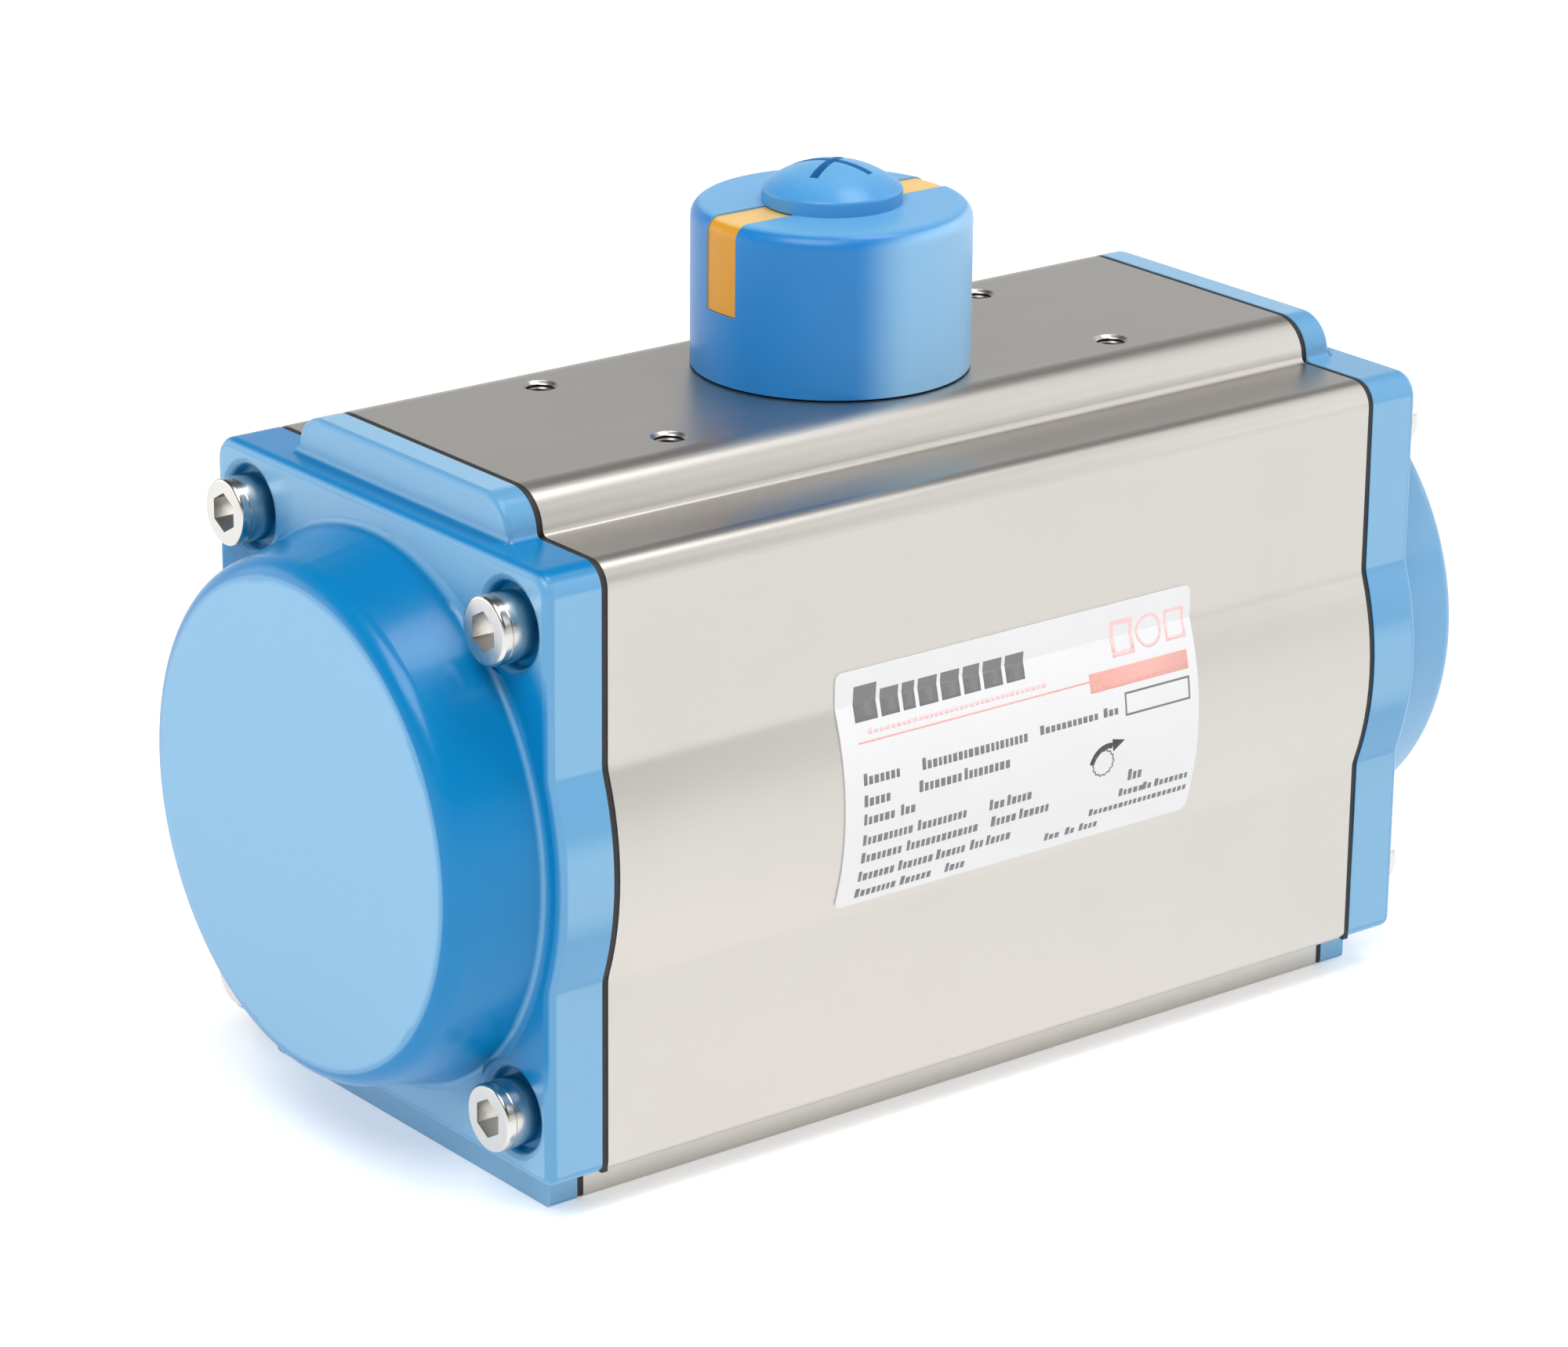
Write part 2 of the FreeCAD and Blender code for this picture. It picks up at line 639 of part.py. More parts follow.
def cut_valve_interface(body):
    """Air ports and screw holes in the valve pad, and the passages behind them."""
    face = "-valve_reach"
    ports = new_sketch(body, "XZ_Plane", raised=face)
    for side in (1, -1):
        draw_circle(ports, f"{side} * port_half", "valve_centre", "port_radius")
    pocket(body, ports, "port_deep", reverse=True)
    screws = new_sketch(body, "XZ_Plane", raised=face)
    draw_four_circles(screws, "valve_hole_long", "valve_hole_tall", "small_thread", "valve_centre")
    pocket(body, screws, "valve_hole_deep", reverse=True)
    passage = new_sketch(body, "XZ_Plane", raised=face)
    draw_circle(passage, "-port_half", "valve_centre", "port_pass")
    pocket(body, passage, "valve_reach - bore_radius + 2 * port_pass", reverse=True)
    drilling = new_sketch(body, "XY_Plane", raised="valve_low - sink")
    draw_circle(drilling, "drill_place", "drill_out", "drill_radius")
    pocket(body, drilling, "drill_top - valve_low + sink", reverse=True)
    channel = new_sketch(body, "YZ_Plane")
    draw_circle(channel, "channel_out", "channel_high", "channel_radius")
    pocket(body, channel, "2 * body_half + 2 * sink", symmetric=True)


def cut_stop_screw_holes(body):
    for radius, depth in (("stop_hole", "side_half / 2"), ("seal_seat_radius", "seal_seat_deep")):
        holes = new_sketch(body, "XZ_Plane", raised="-side_half")
        for side in (1, -1):
            draw_circle(holes, f"{side} * stop_place", "stop_high", radius)
        pocket(body, holes, depth, reverse=True)


def cut_end_holes(body):
    for side in (1, -1):
        holes = new_sketch(body, "YZ_Plane", raised=f"{side} * body_half")
        for across, high in cap_screw_places():
            draw_circle(holes, across, high, "thread_hole")
        pocket(body, holes, "thread_deep", reverse=side < 0)


def make_gasket(label, near):
    """Flat gasket whose face nearer to the middle of the housing lies at X = near."""
    body = new_body(label)
    for outline in (flank_outline("gasket_inset"), column_outline("gasket_inset")):
        sketch = new_sketch(body, "YZ_Plane")
        draw_outline(sketch, outline)
        pad(body, sketch, "gasket_thick")
    bulge = new_sketch(body, "YZ_Plane")
    draw_circle(bulge, "0", "bore_high", "bulge_radius - gasket_inset")
    pad(body, bulge, "gasket_thick")
    for radius, side, height in (
        ("pad_corner", "pad_half", "profile_high - gasket_inset"),
        ("side_corner", "side_half", "shoulder_high - gasket_inset"),
        ("foot_edge", "foot_half", "gasket_inset"),
    ):
        round_edges(
            body,
            f"{radius} - gasket_inset",
            lambda edge: lengthwise_at(edge, size(f"{side} - gasket_inset"), size(height)),
        )
    holes = new_sketch(body, "YZ_Plane")
    draw_circle(holes, "0", "bore_high", "bore_radius")
    for across, high in cap_screw_places():
        draw_circle(holes, across, high, "screw_hole")
    draw_circle(holes, "channel_out", "channel_high", "channel_radius")
    pocket(body, holes, "gasket_thick", reverse=True)
    body.Placement = Placement(Vector(size(near), 0, 0), NO_TURN)
    return body


def make_left_end_cap():
    """Cast end cap on the -X side: stepped flange with a hollow dome."""
    inner = "-(body_half + gasket_thick)"
    face = f"({inner} - cap_flange)"
    body = new_body("left_end_cap")
    for outline, thick in ((flank_outline(), "cap_flange"), (column_outline(), "cap_step")):
        sketch = new_sketch(body, "YZ_Plane", raised=inner)
        draw_outline(sketch, outline)
        pad(body, sketch, thick, reverse=True)
    bulge = new_sketch(body, "YZ_Plane", raised=inner)
    draw_circle(bulge, "0", "bore_high", "bulge_radius")
    pad(body, bulge, "cap_flange", reverse=True)
    round_lengthwise_edges(body)
    round_edges(body, "cap_edge", lambda edge: lies_at(edge, x=size(face)))
    step_face = size(f"{inner} - cap_step")
    round_edges(
        body,
        "cap_step_edge",
        lambda edge: lies_at(edge, x=step_face)
        and (edge.BoundBox.ZMin > size("shoulder_high") + size("pad_root") - 0.01),
    )

    blend_cap_step(body, f"({inner} - cap_step)")

    dome = new_sketch(body, "XZ_Plane", shifted="bore_high")
    draw_outline(
        dome,
        (
            (f"{face} + cap_step", "0"),
            (f"{inner} - cap_length", "0"),
            (f"{inner} - cap_length", "dome_end"),
            (face, "dome_base"),
            (f"{face} + cap_step", "dome_base"),
        ),
    )
    revolve(body, dome, "H_Axis")
    round_edges(body, "dome_edge", lambda edge: is_ring(edge, size("dome_end")))
    round_edges(
        body,
        "dome_root",
        lambda edge: is_ring(edge, size("dome_base")) and lies_at(edge, x=size(face)),
    )

    cavity = new_sketch(body, "XZ_Plane", shifted="bore_high")
    draw_outline(
        cavity,
        (
            (f"{inner} + sink", "0"),
            (f"{inner} - cavity_deep", "0"),
            (f"{inner} - cavity_deep", "cavity_end"),
            (inner, "cavity_base"),
            (f"{inner} + sink", "cavity_base"),
        ),
    )
    groove(body, cavity, "H_Axis")
    cut_cap_screw_pockets(body, inner, face)
    cut_cap_air_slot(body, inner)
    return body


def blend_cap_step(body, step):
    """Hollow rounding where the top pad's front rises from the ledge of the flange."""
    section = new_sketch(body, "XZ_Plane")
    draw_outline(
        section,
        (
            (step, "shoulder_high + cap_step_root", "cap_step_root", ROUND_LEFT),
            (f"{step} - cap_step_root", "shoulder_high"),
            (f"{step} - cap_step_root", "shoulder_high - sink"),
            (f"{step} + sink", "shoulder_high - sink"),
            (f"{step} + sink", "shoulder_high + cap_step_root"),
        ),
    )
    pad(body, section, "2 * pad_half", symmetric=True)


def cut_cap_screw_pockets(body, inner, face):
    """Four recesses with rounded mouths, and the screws' clearance holes."""
    floor = f"{face} + pocket_deep"
    mouth = f"{face} + pocket_flare"
    flared = "pocket_radius + pocket_flare"
    for across, high in cap_screw_places():
        recess = new_sketch(body, "XZ_Plane", raised=f"-({across})", shifted=high)
        draw_outline(
            recess,
            (
                (floor, "0"),
                (floor, "pocket_radius"),
                (mouth, "pocket_radius", "pocket_flare", ROUND_LEFT),
                (face, flared),
                (face, f"{flared} + pocket_relief"),
                (f"{inner} - cap_length - sink", f"{flared} + pocket_relief"),
                (f"{inner} - cap_length - sink", "0"),
            ),
        )
        groove(body, recess, "H_Axis")
    holes = new_sketch(body, "YZ_Plane", raised=inner)
    for across, high in cap_screw_places():
        draw_circle(holes, across, high, "screw_hole")
    pocket(body, holes, "cap_flange")


def cut_cap_air_slot(body, inner):
    """Slot in the gasket face that joins the air channel to the cavity."""
    slant = math.atan2(size("bore_high - channel_high"), size("channel_out"))
    across = f"slot_half * {math.sin(slant)}"
    along = f"slot_half * {math.cos(slant)}"
    goal = (f"slot_reach * {math.cos(slant)}", f"bore_high - slot_reach * {math.sin(slant)}")
    mouth = new_sketch(body, "YZ_Plane", raised=inner)
    draw_circle(mouth, "channel_out", "channel_high", "slot_half")
    pocket(body, mouth, "slot_deep")
    slot = new_sketch(body, "YZ_Plane", raised=inner)
    draw_outline(
        slot,
        (
            (f"channel_out - {across}", f"channel_high - {along}"),
            (f"channel_out + {across}", f"channel_high + {along}"),
            (f"{goal[0]} + {across}", f"{goal[1]} + {along}"),
            (f"{goal[0]} - {across}", f"{goal[1]} - {along}"),
        ),
    )
    pocket(body, slot, "slot_deep")


def make_right_end_cap(left):
    right = document.addObject("Part::Mirroring", "right_end_cap")
    right.Label = "right_end_cap"
    right.Source = left
    right.Base = Vector(0, 0, 0)
    right.Normal = Vector(1, 0, 0)
    document.recompute()
    return right


def make_cap_screw():
    """Socket head screw along +Z with its head seat at Z = 0."""
    body = new_body("cap_screw_template")
    profile = new_sketch(body, "XZ_Plane")
    line_low = "cap_head_long - head_line_back - head_line_wide"
    line_high = "cap_head_long - head_line_back"
    draw_outline(
        profile,
        (
            ("0", "-cap_shank_long"),
            ("cap_shank_radius", "-cap_shank_long"),
            ("cap_shank_radius", "0"),
            ("cap_head_radius", "0"),
            ("cap_head_radius", line_low),
            ("cap_head_radius - head_line_deep", line_low),
            ("cap_head_radius - head_line_deep", line_high),
            ("cap_head_radius", line_high),
            ("cap_head_radius", "cap_head_long"),
            ("0", "cap_head_long"),
        ),
    )
    revolve(body, profile, "V_Axis")
    round_edges(
        body,
        "cap_head_round",
        lambda edge: is_ring(edge, size("cap_head_radius")) and lies_at(edge, z=size("cap_head_long")),
    )
    socket = new_sketch(body, "XY_Plane", raised="cap_head_long")
    draw_outline(socket, regular_outline(6, "cap_hex_flat / 2 / cos(30 deg)"))
    pocket(body, socket, "cap_hex_deep")
    return body


def make_end_cap_screws(template):
    seat = size("body_half + gasket_thick + cap_flange - pocket_deep")
    places = []
    for across, high in cap_screw_places():
        places.append(Placement(Vector(-seat, size(across), size(high)), UPRIGHT_TO_LEFT))
        places.append(Placement(Vector(seat, size(across), size(high)), UPRIGHT_TO_RIGHT))
    return shaped_group("end_cap_screws", placed_copies(template, places))


def make_channel_plug():
    """Press-in plug with a slight dish, at the lower end of the cross drilling."""
    body = new_body("channel_plug")
    profile = new_sketch(body, "XZ_Plane")
    draw_outline(
        profile,
        (
            ("0", "plug_head"),
            ("drill_radius - plug_head", "0"),
            ("drill_radius", "0"),
            ("drill_radius", "plug_long"),
            ("0", "plug_long"),
        ),
    )
    revolve(body, profile, "V_Axis")
    body.Placement = Placement(Vector(size("drill_place"), size("drill_out"), size("valve_low")), NO_TURN)
    return body


def make_name_label(housing):
    """Thin sticker on the -Y side that follows the housing's bulge and the flat above it."""
    blank = document.addObject("Part::Box", "label_blank")
    bind(blank, Length="2 * label_half", Width="bulge_radius", Height="label_high - label_low")
    places = {
        "Placement.Base.x": "label_middle - label_half",
        "Placement.Base.y": "-bulge_radius - sink",
        "Placement.Base.z": "label_low",
    }
    bind(blank, **places)
    document.recompute()
    rounded = document.addObject("Part::Fillet", "label_rounded")
    rounded.Base = blank
    corner = size("label_corner")
    rounded.Edges = [
        (number, corner, corner)
        for number, edge in enumerate(blank.Shape.Edges, start=1)
        if abs(edge.tangentAt(edge.FirstParameter).y) > 0.9
    ]
    drum = document.addObject("Part::Cylinder", "label_drum")
    bind(drum, Radius="bulge_radius + label_thick", Height="2 * body_half")
    drum.Placement = Placement(Vector(-size("body_half"), 0, size("bore_high")), UPRIGHT_TO_RIGHT)
    slab = document.addObject("Part::Box", "label_slab")
    bind(slab, Length="2 * body_half", Width="side_half + label_thick", Height="profile_high")
    bind(slab, **{"Placement.Base.x": "-body_half", "Placement.Base.y": "-side_half - label_thick"})
    cover = document.addObject("Part::Fuse", "label_cover")
    cover.Base = drum
    cover.Tool = slab
    skin = document.addObject("Part::Common", "label_skin")
    skin.Base = rounded
    skin.Tool = cover
    filled = document.addObject("Part::Fuse", "housing_with_bore_filled")
    filled.Base = housing
    core = document.addObject("Part::Cylinder", "label_core")
    bind(core, Radius="(bore_radius + bulge_radius) / 2", Height="2 * body_half")
    core.Placement = drum.Placement
    filled.Tool = core
    label = document.addObject("Part::Cut", "name_label")
    label.Label = "name_label"
    label.Base = skin
    label.Tool = filled
    document.recompute()
    return label


# --- stop screws --------------------------------------------------------------------------


def stop_place(side, distance):
    """Placement on a stop screw's axis, with local +Z pointing out of the housing."""
    return Placement(Vector(side * size("stop_place"), distance, size("stop_high")), UPRIGHT_TO_BACK)


def make_stop_screw(label, side):
    """Grub screw with a flat point; its point meets the cam at the end of the stroke."""
    body = new_body(label)
    point = "stop_radius - stop_point"
    profile = new_sketch(body, "XZ_Plane")
    draw_outline(
        profile,
        (
            ("0", "0"),
            ("stop_point", "0"),
            ("stop_radius", point),
            ("stop_radius", f"stop_long - ({point}) / 2"),
            (f"stop_radius - ({point}) / 2", "stop_long"),
            ("0", "stop_long"),
        ),
    )
    revolve(body, profile, "V_Axis")
    socket = new_sketch(body, "XY_Plane", raised="stop_long")
    draw_outline(socket, regular_outline(6, "stop_hex_flat / 2 / cos(30 deg)"))
    pocket(body, socket, "stop_hex_deep")
    body.Placement = stop_place(side, size("stop_tip"))
    return body


def make_stop_lock_nuts():
    body = new_body("lock_nut_template")
    hexagon = new_sketch(body, "XY_Plane")
    draw_outline(hexagon, regular_outline(6, "nut_flat / 2 / cos(30 deg)"))
    pad(body, hexagon, "nut_thick")
    outside = "(nut_flat / 2 / cos(30 deg) + sink)"
    drop = f"({outside} - nut_flat / 2) * tan(nut_bevel_angle * 1 deg)"
    bevel = new_sketch(body, "XZ_Plane")
    draw_outline(
        bevel,
        (
            ("nut_flat / 2", "nut_thick"),
            (outside, f"nut_thick - {drop}"),
            (outside, "nut_thick + sink"),
            ("nut_flat / 2", "nut_thick + sink"),
        ),
    )
    groove(body, bevel, "V_Axis")
    hole = new_sketch(body, "XY_Plane")
    draw_circle(hole, "0", "0", "stop_hole")
    pocket(body, hole, "nut_thick", reverse=True)
    places = [stop_place(side, size("side_half + stop_washer_thick")) for side in (1, -1)]
    return shaped_group("stop_lock_nuts", placed_copies(body, places))


def make_stop_washers():
    solids = []
    for side in (1, -1):
        disc = Part.makeCylinder(size("stop_washer_radius"), size("stop_washer_thick"))
        washer = disc.cut(Part.makeCylinder(size("stop_hole"), size("stop_washer_thick")))
        washer.Placement = stop_place(side, size("side_half"))
        solids.append(washer)
    return shaped_group("stop_washers", solids)


def make_stop_seal_rings():
    solids = []
    for side in (1, -1):
        ring = Part.makeTorus(size("stop_seal_centre"), size("stop_seal_section"))
        ring.Placement = stop_place(side, size("side_half - stop_seal_section"))
        solids.append(ring)
    return shaped_group("stop_seal_rings", solids)


# --- pinion -------------------------------------------------------------------------------


def involute_angle(radius):
    """Polar angle gained by an involute from its base circle out to this radius."""
    base = size("gear_module * tooth_count / 2 * cos(pressure_angle * 1 deg)")
    slope = math.acos(base / radius)
    return math.tan(slope) - slope


def tooth_space(sketch):
    """Space between two teeth, beside the tooth that is centred on +Y."""
    pitch_radius = size("gear_module * tooth_count / 2")
    base_radius = size("gear_module * tooth_count / 2 * cos(pressure_angle * 1 deg)")
    tip_radius = size("pinion_radius")
    middle = math.pi / 2 + math.pi / size("tooth_count")
    half_space = (math.pi * size("gear_module") / 2 + size("tooth_slack")) / 2 / pitch_radius

    def flank_point(radius, side):
        angle = middle + side * (half_space + involute_angle(radius) - involute_angle(pitch_radius))
        return Vector(radius * math.cos(angle), radius * math.sin(angle), 0)

    roots = {}
    tips = {}
    for side in (1, -1):
        start = flank_point(base_radius, side)
        half_way = flank_point((base_radius + tip_radius) / 2, side)
        tip = flank_point(tip_radius, side)
        sketch.addGeometry(Part.Arc(start, half_way, tip))
        root = start * (size("gear_root") / base_radius)
        sketch.addGeometry(Part.LineSegment(root, start))
        outside = tip * (1 + size("sink") / tip_radius)
        sketch.addGeometry(Part.LineSegment(tip, outside))
        roots[side] = root
        tips[side] = outside
    for ends, radius in ((roots, size("gear_root")), (tips, tip_radius + size("sink"))):
        crest = Vector(radius * math.cos(middle), radius * math.sin(middle), 0)
        sketch.addGeometry(Part.Arc(ends[1], crest, ends[-1]))


def make_drive_pinion():
    """Output shaft: teeth, journals with ring grooves, drive socket and top stub."""
    body = new_body("drive_pinion")
    profile = new_sketch(body, "XZ_Plane")
    steps = [("0", "pinion_low"), ("pinion_radius", "pinion_low")]
    for name in ("lower_seal", "lower_bearing"):
        steps += ring_groove("pinion_radius", name)
    steps += [("pinion_radius", "gear_high"), ("neck_radius", "gear_high")]
    for name in ("upper_bearing", "upper_seal", "snap"):
        steps += ring_groove("neck_radius", name)
    steps += [
        ("neck_radius", "stub_low"),
        ("stub_radius", "stub_low"),
        ("stub_radius", "stub_high"),
        ("0", "stub_high"),
    ]
    draw_outline(profile, steps)
    revolve(body, profile, "V_Axis")

    octagon = new_sketch(body, "XY_Plane", raised="gear_high")
    draw_outline(octagon, regular_outline(8, "octagon_flat / 2 / cos(22.5 deg)", turn=22.5))
    pad(body, octagon, "octagon_high - gear_high")

    socket = new_sketch(body, "XY_Plane", raised="pinion_low")
    draw_outline(socket, double_square("drive_flat"))
    pocket(body, socket, "drive_deep", reverse=True)
    flats = new_sketch(body, "XY_Plane", raised="stub_high")
    for side in (1, -1):
        near = f"{side} * stub_flat"
        far = f"{side} * (stub_radius + sink)"
        draw_outline(flats, rectangle("-stub_radius - sink", "stub_radius + sink", near, far))
    pocket(body, flats, "stub_high - stub_low")
    thread = new_sketch(body, "XY_Plane", raised="stub_high")
    draw_circle(thread, "0", "0", "pinion_thread")
    pocket(body, thread, "pinion_thread_deep")

    space = new_sketch(body, "XY_Plane", raised="gear_low")
    tooth_space(space)
    cut = pocket(body, space, "gear_high - gear_low", reverse=True)
    polar_pattern(body, [cut], "tooth_count")
    return body


def ring_groove(radius, name):
    return [
        (radius, name + "_low"),
        (name + "_floor", name + "_low"),
        (name + "_floor", name + "_high"),
        (radius, name + "_high"),
    ]


def double_square(flat):
    """Eight-pointed star made by two squares turned 45 degrees to each other."""
    corners = []
    for number in range(8):
        angle = 45 * number
        corners += [
            (f"{flat} * sqrt(0.5) * cos({angle} deg)", f"{flat} * sqrt(0.5) * sin({angle} deg)"),
            (
                f"{flat} / 2 / cos(22.5 deg) * cos({angle + 22.5} deg)",
                f"{flat} / 2 / cos(22.5 deg) * sin({angle + 22.5} deg)",
            ),
        ]
    return corners


def make_stop_cam():
    """Hub on the pinion's octagon with one wide sector; its two end faces meet the stop screws."""
    body = new_body("stop_cam")
    hub = new_sketch(body, "XY_Plane", raised="gear_high")
    draw_circle(hub, "0", "0", "cam_hub")
    pad(body, hub, "octagon_high - gear_high")
    sector = new_sketch(body, "XY_Plane", raised="cam_low")
    reach = "sqrt(cam_radius^2 - cam_flat^2)"
    turn = (
        f"-cam_radius * {math.sqrt(0.5)}",
        f"-cam_radius * {math.sqrt(0.5)}",
    )
    draw_outline(
        sector,
        (
            (f"-{reach}", "cam_flat", "cam_radius", ROUND_RIGHT),
            (*turn, "cam_radius", ROUND_RIGHT),
            ("cam_flat", f"-{reach}"),
            ("cam_flat", "0"),
            ("0", "cam_flat"),
        ),
    )
    pad(body, sector, "cam_high - cam_low")
    hole = new_sketch(body, "XY_Plane", raised="gear_high")
    draw_outline(hole, regular_outline(8, "(octagon_flat / 2 + cam_play) / cos(22.5 deg)", turn=22.5))
    pocket(body, hole, "octagon_high - gear_high", reverse=True)
    return body


def make_ring(label, inner, outer, low, thick):
    """Plain turned ring on the output axis."""
    body = new_body(label)
    sketch = new_sketch(body, "XY_Plane", raised=low)
    draw_circle(sketch, "0", "0", outer)
    draw_circle(sketch, "0", "0", inner)
    pad(body, sketch, thick)
    return body


def make_seal_ring(label, hole, groove_name):
    """Round-section seal that fills a groove of the pinion up to the hole's wall."""
    ring = document.addObject("Part::Torus", label)
    ring.Label = label
    outside = f"({hole} - ring_play)"
    inside = f"({groove_name}_floor + ring_play)"
    bind(ring, Radius1=f"({outside} + {inside}) / 2", Radius2=f"({outside} - {inside}) / 2")
    bind(ring, **{"Placement.Base.z": f"({groove_name}_low + {groove_name}_high) / 2"})
    return ring


def make_snap_ring():
    body = new_body("snap_ring")
    sketch = new_sketch(body, "XY_Plane", raised="(snap_low + snap_high - snap_thick) / 2")
    draw_circle(sketch, "0", "0", "snap_outer")
    draw_circle(sketch, "0", "0", "snap_floor + ring_play")
    pad(body, sketch, "snap_thick")
    gap = new_sketch(body, "XY_Plane", raised="snap_low")
    draw_outline(gap, rectangle("0", "snap_outer + sink", "-snap_gap / 2", "snap_gap / 2"))
    pocket(body, gap, "snap_high - snap_low", reverse=True)
    return body


# --- position indicator -------------------------------------------------------------------


def indicator_outline(shrink, low):
    """Half outline of the indicator's face, shrunk evenly, down to the given height."""
    radius = f"indicator_radius - {shrink}"
    high = f"indicator_high - {shrink}"
    return [
        ("0", low),
        (radius, low),
        (radius, "indicator_high - indicator_edge", f"indicator_edge - {shrink}", ROUND_RIGHT),
        ("indicator_radius - indicator_edge", high),
        ("0", high),
    ]


def make_indicator_cap():
    """Moulded cap with an inner hub that takes the pinion's stub, and a groove for the stripe."""
    body = new_body("indicator_cap")
    profile = new_sketch(body, "XZ_Plane")
    draw_outline(profile, indicator_outline("0", "indicator_low"))
    revolve(body, profile, "V_Axis")
    hollow = new_sketch(body, "XZ_Plane")
    draw_outline(
        hollow,
        (
            ("0", "indicator_low - sink"),
            ("indicator_radius - indicator_wall", "indicator_low - sink"),
            ("indicator_radius - indicator_wall", "indicator_high - 2 * indicator_top"),
            ("indicator_radius - 2 * indicator_wall", "indicator_high - indicator_top"),
            ("indicator_hub", "indicator_high - indicator_top"),
            ("indicator_hub", "hub_low"),
            ("0", "hub_low"),
        ),
    )
    groove(body, hollow, "V_Axis")

    socket = new_sketch(body, "XY_Plane", raised="hub_low")
    half = "stub_flat + hub_play"
    radius = "(stub_radius + hub_play)"
    reach = f"sqrt({radius}^2 - ({half})^2)"
    draw_outline(
        socket,
        (
            (f"-{reach}", f"-({half})"),
            (reach, f"-({half})", radius, ROUND_RIGHT),
            (reach, half),
            (f"-{reach}", half, radius, ROUND_RIGHT),
        ),
    )
    pocket(body, socket, "stub_high + hub_play - hub_low", reverse=True)
    hole = new_sketch(body, "XY_Plane", raised="indicator_high")
    draw_circle(hole, "0", "0", "knob_hole")
    pocket(body, hole, "indicator_top + sink")

    trough = new_sketch(body, "XZ_Plane")
    for side in (1, -1):
        draw_outline(
            trough,
            rectangle(
                f"{side} * (indicator_radius - stripe_deep)",
                f"{side} * (indicator_radius + sink)",
                "stripe_low",
                "indicator_high - indicator_edge",
            ),
        )
    pocket(body, trough, "2 * stripe_half", symmetric=True)
    roof = new_sketch(body, "XZ_Plane")
    draw_outline(
        roof,
        (
            ("-indicator_radius - sink", "indicator_high - indicator_edge"),
            ("-indicator_radius + stripe_deep", "indicator_high - indicator_edge"),
            ("-indicator_radius + indicator_edge", "indicator_high - stripe_deep"),
            ("indicator_radius - indicator_edge", "indicator_high - stripe_deep"),
            ("indicator_radius - stripe_deep", "indicator_high - indicator_edge"),
            ("indicator_radius + sink", "indicator_high - indicator_edge"),
            ("indicator_radius + sink", "indicator_high + sink"),
            ("-indicator_radius - sink", "indicator_high + sink"),
        ),
    )
    pocket(body, roof, "2 * stripe_half", symmetric=True)
    eye = new_sketch(body, "XY_Plane", raised="indicator_high")
    draw_circle(eye, "0", "0", "stripe_eye + stripe_play")
    pocket(body, eye, "stripe_deep")
    return body


def make_indicator_stripe():
    """Coloured strip over the indicator's top and down both sides."""
    play = "stripe_play"
    body = new_body("indicator_stripe")
    profile = new_sketch(body, "XZ_Plane")
    draw_outline(profile, indicator_outline("stripe_sink", f"stripe_low + {play}"))
    revolve(body, profile, "V_Axis")
    under = new_sketch(body, "XZ_Plane")
    side = f"indicator_radius - stripe_deep + {play}"
    draw_outline(
        under,
        (
            (f"-({side})", "stripe_low - sink"),
            (f"-({side})", f"indicator_high - indicator_edge + {play} / 2"),
            (f"-indicator_radius + indicator_edge - {play} / 2", f"indicator_high - stripe_deep + {play}"),
            (f"indicator_radius - indicator_edge + {play} / 2", f"indicator_high - stripe_deep + {play}"),
            (side, f"indicator_high - indicator_edge + {play} / 2"),
            (side, "stripe_low - sink"),
        ),
    )
    pocket(body, under, "2 * indicator_radius + 2 * sink", symmetric=True)
    trim = new_sketch(body, "XY_Plane", raised="indicator_high + sink")
    for way in (1, -1):
        near = f"{way} * (stripe_half - {play})"
        far = f"{way} * (indicator_radius + sink)"
        draw_outline(trim, rectangle("-indicator_radius - sink", "indicator_radius + sink", near, far))
    pocket(body, trim, "indicator_high - stripe_low + 2 * sink")
    eye = new_sketch(body, "XY_Plane", raised="indicator_high - stripe_sink")
    draw_circle(eye, "0", "0", "stripe_eye")
    pad(body, eye, f"stripe_deep - stripe_sink - {play}", reverse=True)
    hole = new_sketch(body, "XY_Plane", raised="indicator_high")
    draw_circle(hole, "0", "0", "knob_hole")
    pocket(body, hole, "stripe_deep")
    return body


def make_indicator_screw():
    """Domed plastic-headed screw with a cross recess."""
    body = new_body("indicator_screw")
    rise = "(knob_high - knob_rim)"
    dome = f"(knob_radius^2 + {rise}^2) / (2 * {rise})"
    profile = new_sketch(body, "XZ_Plane")
    draw_outline(
        profile,
        (
            ("0", "indicator_high - knob_shank_long"),
            ("knob_shank", "indicator_high - knob_shank_long"),
            ("knob_shank", "indicator_high"),
            ("knob_radius", "indicator_high"),
            ("knob_radius", "indicator_high + knob_rim", dome, ROUND_RIGHT),
            ("0", "indicator_high + knob_high"),
        ),
    )
    revolve(body, profile, "V_Axis")
    round_edges(
        body,
        "knob_round",
        lambda edge: is_ring(edge, size("knob_radius"))
        and lies_at(edge, z=size("indicator_high + knob_rim")),
    )
    recess = new_sketch(body, "XY_Plane", raised="indicator_high + knob_high")
    recess.setExpression("AttachmentOffset.Rotation.Angle", "Dims.cross_turn * 1 deg")
    arm = "cross_arm"
    half = "cross_half"
    draw_outline(
        recess,
        (
            (arm, f"-{half}"),
            (arm, half),
            (half, half),
            (half, arm),
            (f"-{half}", arm),
            (f"-{half}", half),
            (f"-{arm}", half),
            (f"-{arm}", f"-{half}"),
            (f"-{half}", f"-{half}"),
            (f"-{half}", f"-{arm}"),
            (half, f"-{arm}"),
            (half, f"-{half}"),
        ),
    )
    pocket(body, recess, "cross_deep")
    return body


# --- pistons ------------------------------------------------------------------------------


